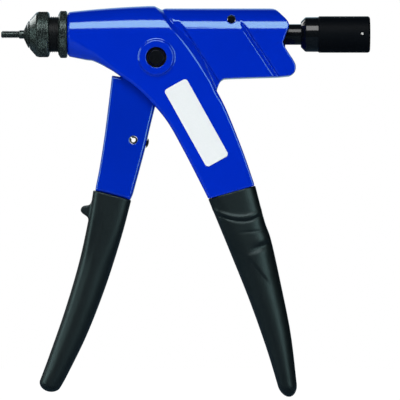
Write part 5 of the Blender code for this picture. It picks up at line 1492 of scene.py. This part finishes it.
BUSH_BORE = 5.6
WASHER_SIZES = (8.4, 4.25)
WASHER_CHAMFER = 0.15
for side in ("near", "far"):
    bush("bush_" + side, "pivot_bush_" + side, 6.5, BUSH_BORE, "y", "root", oiled_bronze)
bush("bush_lever", "lever_bush", 6.9, BUSH_BORE, "y", "lever_arm", oiled_bronze)
for side, body in (("front", "slide"), ("rear", "spindle")):
    bush("washer_" + side, "thrust_washer_" + side, *WASHER_SIZES, "x", body, bright_steel,
         WASHER_CHAMFER)
guide_low, guide_high = (value.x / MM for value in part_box("rear_guide_bush"))
guide = lathe("guide_bush", [
    (guide_high, 9.7), (guide_high - 0.3, 10.0), (guide_low + 1.6, 10.0), (guide_low + 1.6, 12.4),
    (guide_low, 12.4), (guide_low, 7.15), (guide_high, 7.15),
], 0.2)
dress(guide, ["rear_guide_bush"], "root", oiled_bronze)
holder_low, holder_high = (value.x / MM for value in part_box("mandrel_holder"))
holder = lathe("holder_sleeve", [
    (holder_high, 7.1), (holder_high - 0.5, 7.6), (holder_low + 0.5, 7.6), (holder_low, 7.1),
    (holder_low, 3.1), (holder_low + 5.4, 3.1), (holder_low + 5.4, 4.5), (holder_low + 10.6, 4.5),
    (holder_low + 10.8, 4.3), (holder_high, 4.3),
], 0.2)
dress(holder, ["mandrel_holder"], "spindle", bright_steel)

# %% Spring and balls
SPRING_TURNS = 5.0
SPRING_RADIUS = 10.6
SPRING_WIRE = 0.9
spring_low, spring_high = (value.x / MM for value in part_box("return_spring"))
spring_start = spring_low + SPRING_WIRE
spring_pitch = (spring_high - SPRING_WIRE - spring_start) / SPRING_TURNS
spring = spring_tree.grow(
    show("return_spring_wire", bpy.data.meshes.new("return_spring_wire")),
    start=spring_start * MM, turns=SPRING_TURNS, pitch=spring_pitch * MM, radius=SPRING_RADIUS * MM,
    wire=SPRING_WIRE * MM)
spring.data.shade_smooth()
dress(spring, ["return_spring"], "root", bright_steel)
balls = ball_tree.grow(
    show("thrust_balls", bpy.data.meshes.new("thrust_balls")), place=middle("ball_cage").x)
balls.data.shade_smooth()
dress(balls, ["bearing_ball_" + str(i) for i in range(1, 9)], "slide", bright_steel)

# %% [markdown]
# ## Small and hidden pieces
#
# The links, the crosshead, the ball cage and the circlip keep the shape of their solids. A finer
# copy gets the small round that tumbling leaves on every edge.

# %% Tumbled copies of solids
SHARP_ANGLE = math.radians(40)
print("edges sharper than", round(math.degrees(SHARP_ANGLE)), "degrees are rounded")


def tumbled(name, node, body, finish, width):
    """A copy of a solid with every sharp edge rounded."""
    forms = bmesh.new()
    forms.from_mesh(frame["nodes"][node].data)
    bmesh.ops.remove_doubles(forms, verts=forms.verts, dist=0.001 * MM)
    bmesh.ops.dissolve_limit(forms, angle_limit=math.radians(1.0), verts=forms.verts, edges=forms.edges)
    sharp = [edge for edge in forms.edges
             if edge.is_manifold and edge.calc_face_angle(0.0) > SHARP_ANGLE]
    bmesh.ops.bevel(forms, geom=sharp, offset=width * MM, segments=2, profile=0.5, affect="EDGES",
                    clamp_overlap=True)
    bmesh.ops.triangulate(forms, faces=[f for f in forms.faces if len(f.verts) > 4])
    mesh = bpy.data.meshes.new(name)
    forms.to_mesh(mesh)
    forms.free()
    mesh.shade_smooth()
    mesh.set_sharp_from_angle(angle=math.radians(32))
    return dress(show(name, mesh), [node], body, finish)


for name, node, body, finish, width in (
    ("toggle_link_near", "link_near", "toggle_links", bright_steel, 0.4),
    ("toggle_link_far", "link_far", "toggle_links", bright_steel, 0.4),
    ("crosshead_slide", "crosshead", "slide", bright_steel, 0.35),
    ("ball_cage_ring", "ball_cage", "slide", oiled_bronze, 0.1),
    ("circlip", "pivot_circlip", "root", oxide, 0.12),
):
    tumbled(name, node, body, finish, width)

# %% [markdown]
# The lever's slotted pin is rolled from sheet: a ring with a slit that points up and to the front.
# Its wall is 0.94 mm thick.

# %% Slotted pin
PIN_WALL_MIDDLE = 2.02
PIN_WALL_HALF = 0.47
PIN_END_EDGE = 0.2
SLIT_HALF = 0.42
SLIT_EDGE = 0.12
PIN_ROOM = 2.9
PIN_STEP = 0.14


def roll_pin_field(x, y, z):
    """A rolled sheet pin: a ring with a slit and chamfered ends."""
    around = np.hypot(x - ROLL_PIN.x, z - ROLL_PIN.y)
    wall = rounded(
        np.abs(around - PIN_WALL_MIDDLE) - PIN_WALL_HALF, y - LEVER_HALF + SEAT_GAP, PIN_END_EDGE)
    u = (ROLL_PIN.x - x + z - ROLL_PIN.y) * DIAGONAL
    v = (x - ROLL_PIN.x + z - ROLL_PIN.y) * DIAGONAL
    return cut(wall, np.maximum(np.abs(v) - SLIT_HALF, -u), SLIT_EDGE)


roll_pin = cast(
    "roll_pin", roll_pin_field,
    steps_between(ROLL_PIN.x - PIN_ROOM, (ROLL_PIN.x + PIN_ROOM, PIN_STEP)),
    steps_between(0.0, (10.0, 1.0), (11.2, PIN_STEP)),
    steps_between(ROLL_PIN.y - PIN_ROOM, (ROLL_PIN.y + PIN_ROOM, PIN_STEP)),
)
dress(roll_pin, ["lever_roll_pin"], "lever_arm", sprung_steel)

# %% [markdown]
# The rubber bumper is a low dome on a stem that is pressed into the lever. The label is a bare
# white plate on the near flank, with round corners and an edge that falls off softly.

# %% Bumper
bumper = lathe("rubber_bumper", [
    (1.6, 0.0), (1.58, 0.6), (1.5, 1.3), (1.3, 2.0), (0.95, 2.7), (0.6, 3.1), (0.3, 3.3),
    (0.3, 1.8), (-3.7, 1.8), (-4.0, 1.5), (-4.0, 0.0),
], 0.15, 48, (BUMPER.x, 0.0, BUMPER.y), (bumper_way.x, 0.0, bumper_way.y))
dress(bumper, ["stop_bumper"], "lever_arm", soft_black)
print("the bumper has", len(bumper.data.polygons), "faces")

# %% Label
LABEL_PLACE = (7.3, -59.2)
LABEL_SIZE = (16.9, 58.5)
LABEL_CORNER = 2.3
LABEL_LEAN = math.radians(29.1)
LABEL_PILLOW = ((0.0, 0.0), (0.0, 0.22), (0.08, 0.33), (0.22, 0.39), (0.5, 0.4), (1.2, 0.4))
FLANK_HALF = BROW_RADIUS - 0.2


def label_plate():
    """A thin plate with round corners and a pillowed edge, laid on the handle's near flank."""
    forms = bmesh.new()
    rings = []
    half_width = LABEL_SIZE[0] / 2 - LABEL_CORNER
    half_length = LABEL_SIZE[1] / 2 - LABEL_CORNER
    for inset, height in LABEL_PILLOW:
        ring_points = []
        for sx, sz, start in ((1, 1, 0), (-1, 1, 90), (-1, -1, 180), (1, -1, 270)):
            corner = (sx * half_width, sz * half_length)
            for u, v in arc(corner, LABEL_CORNER - inset, start, start + 90, 10):
                ring_points.append(forms.verts.new((u, -height, v)))
        rings.append(ring_points)
    for near, far in zip(rings, rings[1:]):
        for i in range(len(near)):
            j = (i + 1) % len(near)
            forms.faces.new((near[i], near[j], far[j], far[i]))
    forms.faces.new(rings[0])
    forms.faces.new(rings[-1])
    bmesh.ops.recalc_face_normals(forms, faces=forms.faces)
    slope = math.atan(DRAFT * FLANK_HALF / BROW_RADIUS)
    flank_here = FLANK_HALF * (1 + DRAFT * LABEL_PLACE[1] / BROW_RADIUS)
    laid = (Matrix.Translation(Vector((LABEL_PLACE[0], -flank_here - SEAT_GAP, LABEL_PLACE[1])))
            @ Matrix.Rotation(slope, 4, "X") @ Matrix.Rotation(-LABEL_LEAN, 4, "Y"))
    lift = Matrix.Translation((0.0, 0.0, AXIS_HEIGHT)) @ Matrix.Scale(MM, 4)
    bmesh.ops.transform(forms, matrix=lift @ laid, verts=forms.verts)
    mesh = bpy.data.meshes.new("bare_label")
    forms.to_mesh(mesh)
    forms.free()
    mesh.shade_smooth()
    mesh.set_sharp_from_angle(angle=math.radians(50))
    return show("bare_label", mesh)


dress(label_plate(), ["label_plate"], "root", film)
print("label:", LABEL_SIZE, "mm, leaning", round(math.degrees(LABEL_LEAN), 1), "degrees")

# %% [markdown]
# ## Camera
#
# The photograph is a side view from far away, so the camera looks along y through a long lens, and
# stands where one millimetre on the tool takes 1.5 pixels. The tool's x = 0 falls on pixel column
# 185.5, and its z = 0 on pixel row 396.9.

# %% Camera
bpy.context.scene.view_settings.view_transform = "Standard"
PIXELS_PER_MM = 1.5
PICTURE = 400
ZERO_COLUMN = 185.5
ZERO_ROW = 396.9
LENS = 400.0
SENSOR = 36.0
centre_x = (PICTURE / 2 - ZERO_COLUMN) / PIXELS_PER_MM
centre_z = (ZERO_ROW - PICTURE / 2) / PIXELS_PER_MM
distance = PICTURE / PIXELS_PER_MM * LENS / SENSOR
lens = bpy.data.cameras.new("camera")
lens.lens = LENS
lens.sensor_width = SENSOR
camera = bpy.data.objects.new("camera", lens)
bpy.context.scene.collection.objects.link(camera)
camera.location = Vector((centre_x, -distance, centre_z)) * MM
camera.rotation_euler = (math.pi / 2, 0.0, 0.0)
bpy.context.scene.camera = camera
print("camera:", round(distance), "mm in front of the tool")

# %% [markdown]
# ## Light
#
# One long soft box high in front draws the bright band along the housing's roof, and a smaller one
# lights the rear from behind. The fills only lift the shadows, so they don't show in reflections.
# The two glints do the opposite: they show in reflections only, and draw the soft highlights on
# grips, nuts and knob. Their light is a little cool.

# %% Lamps
AIM_HEIGHT = 130.0
WHITE = (1.0, 1.0, 1.0)
COOL = (0.8, 1.0, 0.97)


def soft_box(name, place, size, power, colour=WHITE):
    """A rectangular lamp that looks at the tool and that the camera doesn't see."""
    lamp = bpy.data.lights.new(name, "AREA")
    lamp.color = colour
    lamp.shape = "RECTANGLE"
    lamp.size = size[0] * MM
    lamp.size_y = size[1] * MM
    lamp.energy = power
    thing = bpy.data.objects.new(name, lamp)
    bpy.context.scene.collection.objects.link(thing)
    thing.location = Vector(place) * MM
    aim = Vector((0.0, 0.0, AIM_HEIGHT)) - Vector(place)
    thing.rotation_euler = aim.to_track_quat("-Z", "Y").to_euler()
    thing.visible_camera = False
    return thing


soft_box("strip", (-110.0, -720.0, 890.0), (760.0, 550.0), 8.5)
soft_box("behind_left", (-760.0, 640.0, 690.0), (620.0, 300.0), 3.2)
for name, place, size, power in (
    ("right_fill", (850.0, -600.0, 480.0), (420.0, 520.0), 1.2),
    ("left_fill", (-850.0, -560.0, 260.0), (420.0, 460.0), 1.2),
    ("low_fill", (-60.0, -270.0, 12.0), (500.0, 120.0), 0.5),
    ("rear_fill", (0.0, 1000.0, 560.0), (900.0, 500.0), 7.0),
):
    soft_box(name, place, size, power).visible_glossy = False
for name, place, size, power in (
    ("right_glint", (630.0, -790.0, 270.0), (560.0, 800.0), 5.0),
    ("left_glint", (-995.0, -173.0, 366.0), (420.0, 700.0), 4.0),
):
    soft_box(name, place, size, power, COOL).visible_diffuse = False
print("lamps:", [lamp.name for lamp in bpy.data.lights])

# %% [markdown]
# ## White paper
#
# The catalogue picture is cut out on white paper, so the camera and glass see a white floor and
# sky. Glossy rays see something else: a dim floor, a dark room on the camera's side and a cool
# white sky behind the tool. That keeps the enamel's flanks deep blue and lets light run along the
# edges. The light that falls on the tool from the sky stays at a plain, low level.

# %% White floor
FLOOR_HEIGHT = -8.5
FLOOR_REACH = 700.0
PAPER_WHITE = (1.0, 1.0, 1.0, 1.0)
PAPER_BASE = (0.82, 0.82, 0.82, 1.0)
PAPER_GLOW = 1.06
PAPER_SHARE = 0.93
REFLECTED_GREY = (0.02, 0.07, 0.12, 1.0)
floor_material = bpy.data.materials.new("white_floor")
floor_material.use_nodes = True
paper = Graph(floor_material.node_tree)
paper_surface = paper.tree.nodes["Principled BSDF"]
paper_surface.inputs["Base Color"].default_value = PAPER_BASE
paper_surface.inputs["Roughness"].default_value = 0.9
paper_surface.inputs["Specular IOR Level"].default_value = 0.0


def kinds_of_ray(graph):
    """Three wires that are 1 for rays from the camera, through glass and off a glossy surface."""
    rays = graph.tree.nodes.new("ShaderNodeLightPath")
    kinds = ("Is Camera Ray", "Is Transmission Ray", "Is Glossy Ray")
    return [Wire(graph, rays.outputs[kind]) for kind in kinds]


camera_ray, glass_ray, glossy_ray = kinds_of_ray(paper)
glow = paper.node("ShaderNodeEmission", inputs={
    "Color": paper.blended(glossy_ray, PAPER_WHITE, REFLECTED_GREY), "Strength": PAPER_GLOW})
mixed = paper.node("ShaderNodeMixShader", inputs={
    0: (camera_ray + glass_ray + glossy_ray) * PAPER_SHARE,
    1: Wire(paper, paper_surface.outputs[0]), 2: glow})
paper.tree.links.new(mixed.socket, paper.tree.nodes["Material Output"].inputs["Surface"])
floor_mesh = bpy.data.meshes.new("floor")
floor_corners = [(-FLOOR_REACH, -FLOOR_REACH), (FLOOR_REACH, -FLOOR_REACH),
                 (FLOOR_REACH, FLOOR_REACH), (-FLOOR_REACH, FLOOR_REACH)]
floor_mesh.from_pydata(
    [(x * MM, y * MM, FLOOR_HEIGHT * MM) for x, y in floor_corners], [], [(0, 1, 2, 3)])
floor_mesh.materials.append(floor_material)
show("floor", floor_mesh)
print("floor:", FLOOR_HEIGHT, "mm high and", 2 * FLOOR_REACH, "mm wide")

# %% White sky
AMBIENT = 0.03
REAR_WAY = (0.0, 1.0, 0.35)
DARK_UNTIL = 0.92
WHITE_FROM = 1.06
DARK_ROOM = 0.01
COOL_WHITE = (0.55, 0.85, 1.0, 1.0)
sky = bpy.data.worlds.new("sky")
sky.use_nodes = True
bpy.context.scene.world = sky
heaven = Graph(sky.node_tree)
background = heaven.tree.nodes["Background"]
camera_ray, glass_ray, glossy_ray = kinds_of_ray(heaven)
ray_way = heaven.node("ShaderNodeTexCoord", output="Generated")
to_the_rear = heaven.node("ShaderNodeVectorMath", {"operation": "DOT_PRODUCT"}, {
    0: ray_way, 1: REAR_WAY}, "Value")
room_light = heaven.node("ShaderNodeMapRange", {"interpolation_type": "SMOOTHSTEP"}, {
    0: to_the_rear, 1: DARK_UNTIL, 2: WHITE_FROM, 3: DARK_ROOM, 4: 1.0})
plain = 1.0 - camera_ray - glass_ray - glossy_ray
strength = camera_ray + glass_ray + glossy_ray * room_light + plain * AMBIENT
heaven.feed(background.inputs["Strength"], strength)
heaven.feed(background.inputs["Color"], heaven.blended(glossy_ray, PAPER_WHITE, COOL_WHITE))
print("sky:", len(heaven.tree.nodes), "nodes")
